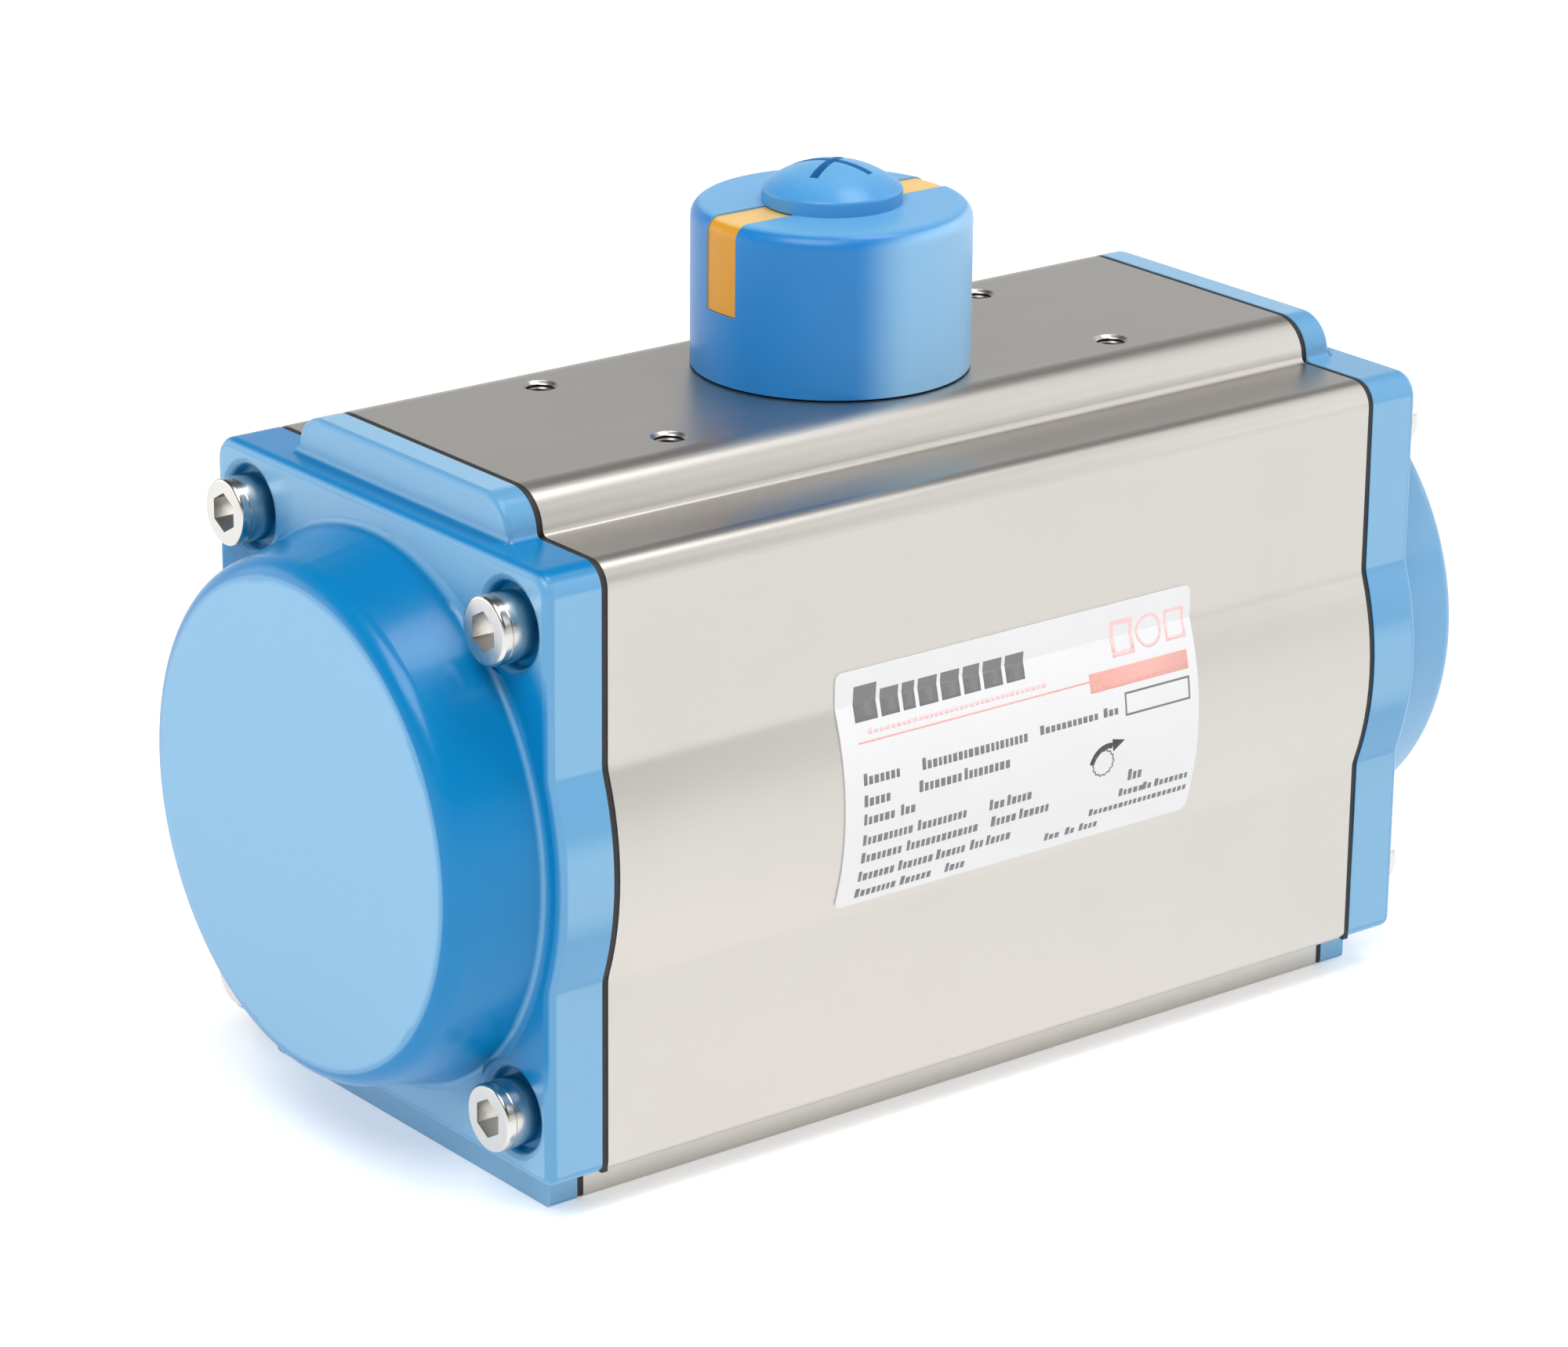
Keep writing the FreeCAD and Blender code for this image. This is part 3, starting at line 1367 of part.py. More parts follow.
def make_piston(label, turn):
    """Piston on -X with its rack arm on the +Y side; a half turn makes the other one."""
    body = new_body(label)
    head = new_sketch(body, "XZ_Plane", shifted="bore_high")
    draw_outline(
        head,
        (
            ("-piston_near", "0"),
            ("-piston_near", "piston_radius"),
            ("-band_near", "piston_radius"),
            ("-band_near", "band_floor"),
            ("-band_far", "band_floor"),
            ("-band_far", "piston_radius"),
            ("-piston_seal_near", "piston_radius"),
            ("-piston_seal_near", "piston_seal_floor"),
            ("-piston_seal_far", "piston_seal_floor"),
            ("-piston_seal_far", "piston_radius"),
            ("-piston_far", "piston_radius"),
            ("-piston_far", "crown_radius"),
            ("-piston_far + crown_deep", "crown_radius"),
            ("-piston_far + crown_deep", "0"),
        ),
    )
    revolve(body, head, "H_Axis")
    arm = new_sketch(body, "XY_Plane", raised="arm_low")
    pitch_line = "gear_module * tooth_count / 2"
    draw_outline(
        arm,
        rectangle("-piston_near - sink", "arm_end", f"{pitch_line} - rack_addendum", "arm_back"),
    )
    pad(body, arm, "arm_high - arm_low")
    cut_rack_spaces(body, pitch_line)
    recess = new_sketch(body, "XZ_Plane", raised="-arm_back")
    draw_outline(
        recess,
        rectangle(
            "shoe_middle - shoe_peg_half",
            "shoe_middle + shoe_peg_half",
            "bore_high - shoe_peg_half",
            "bore_high + shoe_peg_half",
        ),
    )
    pocket(body, recess, "shoe_peg_deep", reverse=True)
    body.Placement = Placement(Vector(0, 0, 0), turn)
    return body


def cut_rack_spaces(body, pitch_line):
    """Straight-sided tooth spaces, one of them centred on X = 0 at rest."""
    slope = "tan(pressure_angle * 1 deg)"
    half = "(pi * gear_module / 4 + tooth_slack / 2)"
    root = "(pinion_radius + rack_clearance)"
    mouth = f"({pitch_line} - rack_addendum - sink)"
    root_half = f"({half} - ({root} - {pitch_line}) * {slope})"
    mouth_half = f"({half} + ({pitch_line} - {mouth}) * {slope})"
    spaces = new_sketch(body, "XY_Plane", raised="arm_high")
    first = int(size("rack_first_space"))
    for number in range(first, first + int(size("rack_space_count"))):
        middle = f"({number} * pi * gear_module)"
        draw_outline(
            spaces,
            (
                (f"{middle} - {mouth_half}", mouth),
                (f"{middle} + {mouth_half}", mouth),
                (f"{middle} + {root_half}", root),
                (f"{middle} - {root_half}", root),
            ),
        )
    pocket(body, spaces, "arm_high - arm_low")


def make_piston_seal(label, turn):
    ring = document.addObject("Part::Torus", label)
    ring.Label = label
    bind(ring, Radius1="piston_seal_centre", Radius2="piston_seal_section")
    middle = -size("(piston_seal_near + piston_seal_far) / 2")
    upright = Placement(Vector(middle, 0, size("bore_high")), UPRIGHT_TO_RIGHT)
    ring.Placement = Placement(Vector(0, 0, 0), turn).multiply(upright)
    return ring


def make_guide_band(label, turn):
    body = new_body(label)
    section = new_sketch(body, "XZ_Plane", shifted="bore_high")
    draw_outline(
        section,
        rectangle(
            "-band_far + band_play",
            "-band_near - band_play",
            "band_floor + ring_play",
            "bore_radius - ring_play",
        ),
    )
    revolve(body, section, "H_Axis")
    body.Placement = Placement(Vector(0, 0, 0), turn)
    return body


def make_guide_shoe(label, turn):
    """Plastic shoe between the rack arm's back and the bore, with a square peg."""
    body = new_body(label)
    section = new_sketch(body, "YZ_Plane", raised="shoe_middle - shoe_long / 2")
    low = "bore_high - shoe_tall / 2"
    high = "bore_high + shoe_tall / 2"
    radius = "(bore_radius - ring_play)"
    reach = f"sqrt({radius}^2 - (shoe_tall / 2)^2)"
    draw_outline(
        section,
        (("arm_back", low), (reach, low, radius, ROUND_RIGHT), (reach, high), ("arm_back", high)),
    )
    pad(body, section, "shoe_long")
    peg = new_sketch(body, "XZ_Plane", raised="-arm_back")
    half = "shoe_peg_half - shoe_peg_play"
    draw_outline(
        peg,
        rectangle(
            f"shoe_middle - ({half})",
            f"shoe_middle + ({half})",
            f"bore_high - ({half})",
            f"bore_high + ({half})",
        ),
    )
    pad(body, peg, "shoe_peg_deep - shoe_peg_play")
    body.Placement = Placement(Vector(0, 0, 0), turn)
    return body


# --- assembly -----------------------------------------------------------------------------


def make_all():
    housing = make_actuator_body()
    left_cap = make_left_end_cap()
    nodes = [
        housing,
        make_gasket("left_gasket", "-(body_half + gasket_thick)"),
        make_gasket("right_gasket", "body_half"),
        left_cap,
        make_right_end_cap(left_cap),
        make_end_cap_screws(make_cap_screw()),
        make_channel_plug(),
        make_name_label(housing),
        make_stop_screw("left_stop_screw", -1),
        make_stop_screw("right_stop_screw", 1),
        make_stop_lock_nuts(),
        make_stop_washers(),
        make_stop_seal_rings(),
        make_ring(
            "inner_thrust_ring", "washer_inner", "thrust_radius", "thrust_low", "thrust_high - thrust_low"
        ),
        make_ring(
            "outer_thrust_washer", "washer_inner", "washer_outer", "profile_high", "slide_washer_thick"
        ),
        make_ring(
            "steel_washer",
            "neck_radius + ring_play",
            "washer_outer",
            "steel_washer_low",
            "steel_washer_thick",
        ),
        make_snap_ring(),
        make_drive_pinion(),
        make_stop_cam(),
        make_indicator_cap(),
        make_indicator_stripe(),
        make_indicator_screw(),
    ]
    for level in ("lower", "upper"):
        nodes.append(make_seal_ring(f"{level}_seal_ring", f"{level}_hole", f"{level}_seal"))
        nodes.append(
            make_ring(
                f"{level}_bearing_ring",
                f"{level}_bearing_floor + ring_play",
                f"{level}_hole - ring_play",
                f"{level}_bearing_low + ring_play",
                f"{level}_bearing_high - {level}_bearing_low - 2 * ring_play",
            )
        )
    for side, turn in (("left", NO_TURN), ("right", HALF_TURN)):
        nodes.append(make_piston(f"{side}_piston", turn))
        nodes.append(make_piston_seal(f"{side}_piston_seal", turn))
        nodes.append(make_guide_band(f"{side}_guide_band", turn))
        nodes.append(make_guide_shoe(f"{side}_guide_shoe", turn))
    return nodes


def check_all(nodes):
    for item in document.Objects:
        if "Invalid" in item.State or "Error" in item.State:
            raise ValueError(f"{item.Label} failed: {item.State}")
    for node in nodes:
        if node.Shape.isNull() or not node.Shape.isValid() or not node.Shape.Solids:
            raise ValueError(f"{node.Label} has no valid solid")


def write_all(nodes):
    os.makedirs("parts", exist_ok=True)
    for node in nodes:
        node.Shape.exportStep(f"parts/{node.Label}.step")


finished_nodes = make_all()
document.recompute()
check_all(finished_nodes)
write_all(finished_nodes)
for node in finished_nodes:
    print(node.Label, len(node.Shape.Solids), round(node.Shape.Volume, 1))
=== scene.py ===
"""Looks of the rotary pneumatic actuator: finishes, threads, label print, floor, lights and camera."""

import math
import random

import bmesh
import bpy
from mathutils import Matrix, Vector


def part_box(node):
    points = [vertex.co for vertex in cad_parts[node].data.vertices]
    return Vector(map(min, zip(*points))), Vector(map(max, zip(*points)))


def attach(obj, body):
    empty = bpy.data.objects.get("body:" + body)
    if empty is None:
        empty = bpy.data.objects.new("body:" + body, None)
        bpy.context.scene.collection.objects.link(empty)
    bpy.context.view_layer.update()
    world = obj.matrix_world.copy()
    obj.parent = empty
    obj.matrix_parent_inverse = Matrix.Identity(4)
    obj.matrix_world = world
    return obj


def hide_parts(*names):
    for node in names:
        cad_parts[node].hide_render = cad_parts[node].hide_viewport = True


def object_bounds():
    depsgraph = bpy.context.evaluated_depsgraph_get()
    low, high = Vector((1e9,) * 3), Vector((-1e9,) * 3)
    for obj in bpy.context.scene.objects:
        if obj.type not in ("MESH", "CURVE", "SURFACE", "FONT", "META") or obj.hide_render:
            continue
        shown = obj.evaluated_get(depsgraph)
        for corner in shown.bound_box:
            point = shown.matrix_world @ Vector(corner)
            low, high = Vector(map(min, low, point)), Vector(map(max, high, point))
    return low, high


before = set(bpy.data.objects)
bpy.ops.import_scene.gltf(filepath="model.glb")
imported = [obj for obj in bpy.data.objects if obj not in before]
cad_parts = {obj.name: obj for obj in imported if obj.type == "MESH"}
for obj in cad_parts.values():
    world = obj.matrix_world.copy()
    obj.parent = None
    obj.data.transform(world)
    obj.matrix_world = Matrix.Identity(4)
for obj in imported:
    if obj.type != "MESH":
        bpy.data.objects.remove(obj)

CAD_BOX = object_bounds()
MM = 0.001
FULL_TURN = 2.0 * math.pi

# ---------------------------------------------------------------------------------------------
# Places, read from the frame where it gives them
# ---------------------------------------------------------------------------------------------


def middle(node):
    """The centre of a node's box."""
    low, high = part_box(node)
    return (low + high) / 2


def direction(azimuth, elevation):
    """The unit vector towards a place seen from the object; azimuth 0 is -Y and 90 is +X, in degrees."""
    turn, rise = math.radians(azimuth), math.radians(elevation)
    return Vector((math.sin(turn) * math.cos(rise), -math.cos(turn) * math.cos(rise), math.sin(rise)))


HOUSING_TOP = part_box("actuator_body")[1].z
LABEL_LOW, LABEL_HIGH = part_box("name_label")
SCREWS_LOW, SCREWS_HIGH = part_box("end_cap_screws")
BORE_HEIGHT = middle("end_cap_screws").z

# End caps: the dome's radius, and how far out the flange's face is, a dome's height short of the tip.
DOME_RADIUS = 39.25 * MM
DOME_HEIGHT = 13.7 * MM
FLANGE_FACE = -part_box("left_end_cap")[0].x - DOME_HEIGHT
SCREW_HEAD_RADIUS = 4.8 * MM
RECESS_RADIUS = 5.9 * MM

# Tapped holes in the housing: half their spacing, the largest radius of their wall, and their pitch.
TOP_HOLE_X, TOP_HOLE_Y = 40 * MM, 15 * MM
TOP_HOLE_RADIUS = 2.6 * MM
VALVE_HEIGHT = 35.3 * MM
VALVE_HOLE_X, VALVE_HOLE_Z = 16 * MM, 12 * MM
VALVE_HOLE_RADIUS = 2.1 * MM
PORT_X = 12 * MM
PORT_RADIUS = 5.9 * MM
SMALL_PITCH = 0.8 * MM
PORT_PITCH = 1.337 * MM


# ---------------------------------------------------------------------------------------------
# Shader building
# ---------------------------------------------------------------------------------------------


class Finish:
    """A procedural material: a Principled shader with nodes for its grain, tone and relief."""

    def __init__(self, name, colour, roughness, metallic=0.0, **constants):
        self.material = bpy.data.materials.new(name)
        self.material.use_nodes = True
        self.tree = self.material.node_tree
        self.shader = self.tree.nodes["Principled BSDF"]
        self.colour = (*colour, 1.0)
        self.roughness = roughness
        self.shader.inputs["Metallic"].default_value = metallic
        for socket, value in constants.items():
            self.shader.inputs[socket.replace("_", " ")].default_value = value
        self.coordinates = self.node("ShaderNodeTexCoord").outputs
        self.place = self.coordinates["Object"]

    def node(self, kind, inputs=None, **settings):
        """Adds a node, with its settings, and its inputs linked or set."""
        made = self.tree.nodes.new(kind)
        for key, value in settings.items():
            setattr(made, key, value)
        for key, value in (inputs or {}).items():
            if isinstance(value, bpy.types.NodeSocket):
                self.tree.links.new(value, made.inputs[key])
            else:
                made.inputs[key].default_value = value
        return made

    def maths(self, operation, first, second=0.0):
        """One arithmetic step."""
        return self.node("ShaderNodeMath", {0: first, 1: second}, operation=operation).outputs[0]

    def product(self, first, second):
        """The product of two values; of two masks, 1 only where both are 1."""
        return self.maths("MULTIPLY", first, second)

    def largest(self, first, *others):
        """The largest of the values; of masks, 1 where any is 1."""
        for value in others:
            first = self.maths("MAXIMUM", first, value)
        return first

    def unsigned(self, value):
        """The value without its sign."""
        return self.maths("ABSOLUTE", value)

    def stretched(self, factors):
        """The object's coordinates, scaled along each axis."""
        return self.node("ShaderNodeMapping", {"Vector": self.place, "Scale": factors}).outputs[0]

    def noise(self, size, detail=2.0, place=None):
        """Noise from 0 to 1 with grains of about this size, in metres."""
        inputs = {"Vector": place or self.place, "Scale": 1.0 / size, "Detail": detail}
        return self.node("ShaderNodeTexNoise", inputs).outputs["Fac"]

    def between(self, value, low, high):
        """A value from 0 to 1 spread over low to high."""
        return self.node("ShaderNodeMapRange", {"Value": value, "To Min": low, "To Max": high}).outputs[0]

    def mask(self, value, start, end):
        """0 up to start and 1 from end on, with a smooth step between."""
        inputs = {"Value": value, "From Min": start, "From Max": end}
        return self.node("ShaderNodeMapRange", inputs, interpolation_type="SMOOTHSTEP").outputs[0]

    def facing(self, axis):
        """How far the surface faces along the object's own axis, from -1 to 1."""
        return self.node("ShaderNodeSeparateXYZ", {0: self.coordinates["Normal"]}).outputs[axis]

    def towards(self, azimuth):
        """How far the surface faces towards a level direction, from -1 to 1."""
        inputs = {0: self.coordinates["Normal"], 1: direction(azimuth, 0)}
        return self.node("ShaderNodeVectorMath", inputs, operation="DOT_PRODUCT").outputs["Value"]

    def along(self, axis):
        """The place along one of the object's own axes, in metres."""
        return self.node("ShaderNodeSeparateXYZ", {0: self.place}).outputs[axis]

    def from_pair(self, axis, half, centre=0.0):
        """The distance along an axis from the nearer of two places, half to each side of a centre."""
        from_centre = self.unsigned(self.maths("SUBTRACT", self.along(axis), centre))
        return self.maths("SUBTRACT", from_centre, half)

    def length(self, first, second):
        """The length of two parts at right angles."""
        squares = self.maths("ADD", self.product(first, first), self.product(second, second))
        return self.maths("SQRT", squares)

    def turns(self, axis, pitch):
        """A wave along an axis with one crest for each turn of a thread, from -1 to 1."""
        return self.wave(self.along(axis), pitch)

    def wave(self, distance, pitch):
        """A wave from -1 to 1 that repeats after each pitch of a distance."""
        return self.maths("SINE", self.product(distance, FULL_TURN / pitch))

    def inverse(self, value):
        """1 where the value is 0, and 0 where it is 1."""
        return self.maths("SUBTRACT", 1.0, value)

    def tone(self, value, spread):
        """Gives the shader the finish's own colour, darker where a value is 0, lighter at 1."""
        dark = tuple(part * (1.0 - spread) for part in self.colour[:3])
        light = tuple(min(1.0, part * (1.0 + spread)) for part in self.colour[:3])
        mix = self.node("ShaderNodeMix", {"Factor": value}, data_type="RGBA")
        mix.inputs["A"].default_value = (*dark, 1.0)
        mix.inputs["B"].default_value = (*light, 1.0)
        self.tree.links.new(mix.outputs["Result"], self.shader.inputs["Base Color"])
        return mix.outputs["Result"]

    def blend_colour(self, below, colour, factor):
        """Lays a second colour over the first where factor is 1."""
        mix = self.node("ShaderNodeMix", {"Factor": factor}, data_type="RGBA")
        self.tree.links.new(below, mix.inputs["A"])
        mix.inputs["B"].default_value = (*colour, 1.0)
        self.tree.links.new(mix.outputs["Result"], self.shader.inputs["Base Color"])
        return mix.outputs["Result"]

    def gloss(self, value, spread):
        """Roughness that varies by spread around the finish's own."""
        rough = self.between(value, self.roughness - spread, self.roughness + spread)
        self.tree.links.new(rough, self.shader.inputs["Roughness"])

    def relief(self, *layers):
        """Bump from (height, depth in metres) layers, each on top of the one before."""
        normal = None
        for height, depth in layers:
            inputs = {"Height": height, "Distance": depth, "Strength": 1.0}
            if normal is not None:
                inputs["Normal"] = normal
            normal = self.node("ShaderNodeBump", inputs).outputs["Normal"]
        self.tree.links.new(normal, self.shader.inputs["Normal"])
        return normal


# ---------------------------------------------------------------------------------------------
# Finishes
# ---------------------------------------------------------------------------------------------

ANODISED_GREY = (0.485, 0.465, 0.435)
SHADED_THREAD_GREY = (0.17, 0.16, 0.15)
CAST_GREY = (0.46, 0.46, 0.45)
STAINLESS_GREY = (0.60, 0.59, 0.57)
NICKEL_GREY = (0.60, 0.58, 0.54)
# The coating's deep blue, kept as painted shade, and its pale painted sheen for the open faces.
COATING_BLUE = (0.0, 0.18, 0.43)
PAINTED_SHEEN_BLUE = (0.19, 0.40, 0.60)
NYLON_BLUE = (0.003, 0.17, 0.47)
# Paler colours of the nylon for its upward faces and one side: painted light.
NYLON_LIT_TOP_BLUE = (0.11, 0.35, 0.62)
NYLON_LIT_SIDE_BLUE = (0.20, 0.42, 0.65)
NYLON_SCREW_BLUE = (0.05, 0.26, 0.56)
NYLON_YELLOW = (0.58, 0.26, 0.008)
NYLON_LIT_TOP_YELLOW = (0.74, 0.48, 0.16)
ACETAL_CREAM = (0.70, 0.68, 0.60)
RUBBER_BLACK = (0.012, 0.012, 0.013)
LABEL_WHITE = (0.70, 0.70, 0.71)
TABLE_WHITE = (0.86, 0.86, 0.86)

# How much painted shade, the shaded grey, the walls of the tapped holes take.
THREAD_SHADE = 0.8

# Where the coating's painted shade, its deep blue, gives way to the pale painted sheen: outside a dome's
# foot, above and below the bore's axis beside it, outside a screw recess, and below the housing's top on a
# ledge.
FOOT_FADE = (6 * MM, 13 * MM)
FOOT_HEIGHT_FADE = (29 * MM, 40 * MM)
RECESS_FADE = 0.6 * MM
LEDGE_FADE = (4 * MM, 2 * MM)

# How much of the painted shade, the deep blue, the right cap's sides and the roundings take; the right
# cap's sides stay paler as painted light from the right.
RIGHT_CAP_SHARE = 0.3
ROUNDING_SHARE = 0.4

# The azimuth that the side of the plastic with painted light faces, in degrees.
LIT_SIDE_AZIMUTH = 40

TOOL_RING_PITCH = 0.22 * MM


def anodised_extrusion():
    """Satin anodised aluminium: faint die lines along the bore, a fine blasted grain, tapped holes with
    painted shade.
    """
    finish = Finish("anodised_extrusion", ANODISED_GREY, 0.36, metallic=1.0)
    lines = finish.noise(0.6 * MM, detail=3.0, place=finish.stretched((0.01, 1.0, 1.0)))
    grain = finish.noise(0.25 * MM, detail=2.0)
    clouds = finish.noise(18 * MM, detail=3.0)
    toned = finish.tone(finish.maths("ADD", clouds, 0.5), spread=0.05)
    top_distance = finish.length(finish.from_pair("X", TOP_HOLE_X), finish.from_pair("Y", TOP_HOLE_Y))
    top_wall, top_thread = tapped_holes(finish, "Z", top_distance, TOP_HOLE_RADIUS, SMALL_PITCH)
    valve_distance = from_valve_holes(finish, VALVE_HOLE_X, VALVE_HOLE_Z)
    valve_wall, valve_thread = tapped_holes(finish, "Y", valve_distance, VALVE_HOLE_RADIUS, SMALL_PITCH)
    port_distance = from_valve_holes(finish, PORT_X, 0.0)
    port_wall, port_thread = tapped_holes(finish, "Y", port_distance, PORT_RADIUS, PORT_PITCH)
    walls = finish.largest(top_wall, valve_wall, port_wall)
    finish.blend_colour(toned, SHADED_THREAD_GREY, finish.product(walls, THREAD_SHADE))
    finish.gloss(lines, spread=0.05)
    finish.relief(
        (finish.maths("ADD", top_thread, valve_thread), 0.12 * MM),
        (port_thread, 0.20 * MM),
        (lines, 0.004 * MM),
        (grain, 0.003 * MM),
    )
    return finish.material


def from_valve_holes(finish, half_x, half_z):
    """Distance from the axis of the nearest hole of a pattern in the valve pad."""
    return finish.length(finish.from_pair("X", half_x), finish.from_pair("Z", half_z, VALVE_HEIGHT))


def tapped_holes(finish, axis, distance, radius, pitch):
    """A mask of the walls of holes along an axis, and the height of their thread, from their distance."""
    wall = finish.inverse(finish.mask(finish.unsigned(finish.facing(axis)), 0.5, 0.8))
    inside = finish.inverse(finish.mask(distance, radius + 0.1 * MM, radius + 0.2 * MM))
    walls = finish.product(wall, inside)
    return walls, finish.product(walls, finish.turns(axis, pitch))


def cast_aluminium():
    """Die-cast aluminium: greyer, with a coarse skin."""
    finish = Finish("cast_skin", CAST_GREY, 0.48, metallic=1.0)
    skin = finish.noise(0.7 * MM, detail=5.0)
    finish.tone(finish.noise(9 * MM, detail=3.0), spread=0.10)
    finish.gloss(skin, spread=0.10)
    finish.relief((skin, 0.03 * MM))
    return finish.material


def blue_coating():
    """Sky-blue powder coat with gentle orange peel: painted sheen, pale, on open faces; painted shade, deep
    blue, elsewhere.
    """
    finish = Finish(
        "blue_powder_coat", COATING_BLUE, 0.30,
        IOR=1.30, Coat_Weight=0.22, Coat_Roughness=0.16, Coat_IOR=1.45,
    )
    peel = finish.noise(1.6 * MM, detail=1.0)
    dust = finish.noise(0.35 * MM, detail=2.0)
    deep = finish.tone(finish.noise(14 * MM, detail=3.0), spread=0.06)
    # Pale painted sheen on the open faces, and the deep blue kept as painted shade on the rest.
    finish.blend_colour(deep, PAINTED_SHEEN_BLUE, finish.inverse(painted_shade_part(finish)))
    finish.gloss(dust, spread=0.05)
    waves = finish.relief((peel, 0.016 * MM), (dust, 0.003 * MM))
    finish.tree.links.new(waves, finish.shader.inputs["Coat Normal"])
    return finish.material


def painted_shade_part(finish):
    """Painted shade: 1 on the domes' sides and feet, the low ledges and the recesses, and less on the
    roundings.
    """
    lengthwise = finish.unsigned(finish.facing("X"))
    from_middle = finish.unsigned(finish.along("X"))
    on_dome = finish.mask(from_middle, FLANGE_FACE + 0.2 * MM, FLANGE_FACE + 1.2 * MM)
    dome_side = finish.product(on_dome, finish.inverse(finish.mask(lengthwise, 0.93, 0.995)))
    # The right cap's sides take less painted shade, as painted light from the right.
    left_more = finish.between(finish.mask(finish.along("X"), -MM, MM), 1.0, RIGHT_CAP_SHARE)
    sides = finish.product(finish.largest(dome_side, low_ledge(finish)), left_more)
    dome_foot = finish.product(beside_dome(finish), finish.inverse(on_dome))
    dome_foot = finish.product(dome_foot, finish.mask(lengthwise, 0.5, 0.9))
    outside_recess = finish.mask(from_screw_axes(finish), RECESS_RADIUS, RECESS_RADIUS + RECESS_FADE)
    rounded = finish.product(rounding(finish), ROUNDING_SHARE)
    return finish.largest(sides, dome_foot, finish.inverse(outside_recess), rounded)


def beside_dome(finish):
    """1 around the dome's foot on both sides of it, fading out before the corners of the flange."""
    from_dome = finish.maths("SUBTRACT", from_bore_axis(finish), DOME_RADIUS)
    near = finish.inverse(finish.mask(from_dome, *FOOT_FADE))
    height = finish.unsigned(finish.maths("SUBTRACT", finish.along("Z"), BORE_HEIGHT))
    return finish.product(near, finish.inverse(finish.mask(height, *FOOT_HEIGHT_FADE)))


def low_ledge(finish):
    """1 on faces that look up, below the top of the caps."""
    dark_below, pale_above = (HOUSING_TOP - depth for depth in LEDGE_FADE)
    below_top = finish.inverse(finish.mask(finish.along("Z"), dark_below, pale_above))
    return finish.product(finish.mask(finish.facing("Z"), 0.4, 0.9), below_top)


def rounding(finish):
    """1 where the surface faces along none of the three axes."""
    facings = [finish.unsigned(finish.facing(axis)) for axis in "XYZ"]
    return finish.inverse(finish.mask(finish.largest(*facings), 0.983, 0.998))


def moulded_plastic(name, colour, roughness=0.42, lit_top_colour=None, lit_side_colour=None):
    """Moulded plastic with the fine matt texture of an eroded mould, with painted light on top and on one
    side.
    """
    finish = Finish(name, colour, roughness, IOR=1.4, Coat_Weight=0.2, Coat_Roughness=0.22)
    erosion = finish.noise(0.3 * MM, detail=3.0)
    tinted = finish.tone(finish.noise(8 * MM, detail=2.0), spread=0.05)
    # Painted light on the side that faces to the front right, paler there.
    if lit_side_colour:
        lit_side_part = finish.mask(finish.towards(LIT_SIDE_AZIMUTH), 0.34, 0.72)
        tinted = finish.blend_colour(tinted, lit_side_colour, lit_side_part)
    # Painted light on faces that look up, paler there.
    if lit_top_colour:
        finish.blend_colour(tinted, lit_top_colour, finish.mask(finish.facing("Z"), 0.75, 0.98))
    finish.gloss(erosion, spread=0.06)
    finish.relief((erosion, 0.008 * MM), (finish.noise(6 * MM, detail=1.0), 0.02 * MM))
    return finish.material


def bright_steel(name, colour, roughness, distance_from_axis):
    """Turned steel with fine tool rings; the last value is the function that gives the rings' distance."""
    finish = Finish(name, colour, roughness, metallic=1.0)
    rings = finish.wave(distance_from_axis(finish), TOOL_RING_PITCH)
    finish.tone(finish.noise(3 * MM, detail=3.0), spread=0.06)
    finish.gloss(finish.noise(1.2 * MM, detail=2.0), spread=0.06)
    finish.relief((rings, 0.001 * MM), (finish.noise(0.5 * MM, detail=2.0), 0.002 * MM))
    return finish.material


def black_rubber():
    """Black rubber, dull, with a dusty grain."""
    finish = Finish("nitrile_rubber", RUBBER_BLACK, 0.62)
    grain = finish.noise(0.4 * MM, detail=3.0)
    finish.tone(finish.noise(5 * MM, detail=2.0), spread=0.30)
    finish.gloss(grain, spread=0.12)
    finish.relief((grain, 0.010 * MM))
    return finish.material


def label_film():
    """White polyester label film with a faint paper-like tooth."""
    finish = Finish("label_film_white", LABEL_WHITE, 0.55, IOR=1.4)
    tooth = finish.noise(0.5 * MM, detail=3.0)
    finish.tone(finish.noise(10 * MM, detail=2.0), spread=0.02)
    finish.gloss(tooth, spread=0.06)
    finish.relief((tooth, 0.004 * MM), (finish.noise(7 * MM, detail=1.0), 0.02 * MM))
    return finish.material


def printed_ink(name, colour):
    """Transfer ink: flat colour with the slight mottle of a ribbon printer."""
    finish = Finish(name, colour, 0.5)
    mottle = finish.noise(0.25 * MM, detail=2.0)
    finish.tone(mottle, spread=0.22)
    finish.gloss(mottle, spread=0.08)
    finish.relief((mottle, 0.002 * MM))
    return finish.material


def from_bore_axis(finish):
    """Distance from the axis of the bore and the domes."""
    return finish.length(finish.along("Y"), finish.maths("SUBTRACT", finish.along("Z"), BORE_HEIGHT))


def from_screw_axes(finish):
    """Distance from the axis of the nearest end cap screw, all eight at once by symmetry."""
    offset_y = (SCREWS_HIGH.y - SCREWS_LOW.y) / 2 - SCREW_HEAD_RADIUS
    offset_z = (SCREWS_HIGH.z - SCREWS_LOW.z) / 2 - SCREW_HEAD_RADIUS
    return finish.length(finish.from_pair("Y", offset_y), finish.from_pair("Z", offset_z, BORE_HEIGHT))


def from_shaft(finish):
    """Distance from the shaft axis plus the height, so that faces and sides both show tool marks."""
    return finish.maths("ADD", finish.length(finish.along("X"), finish.along("Y")), finish.along("Z"))


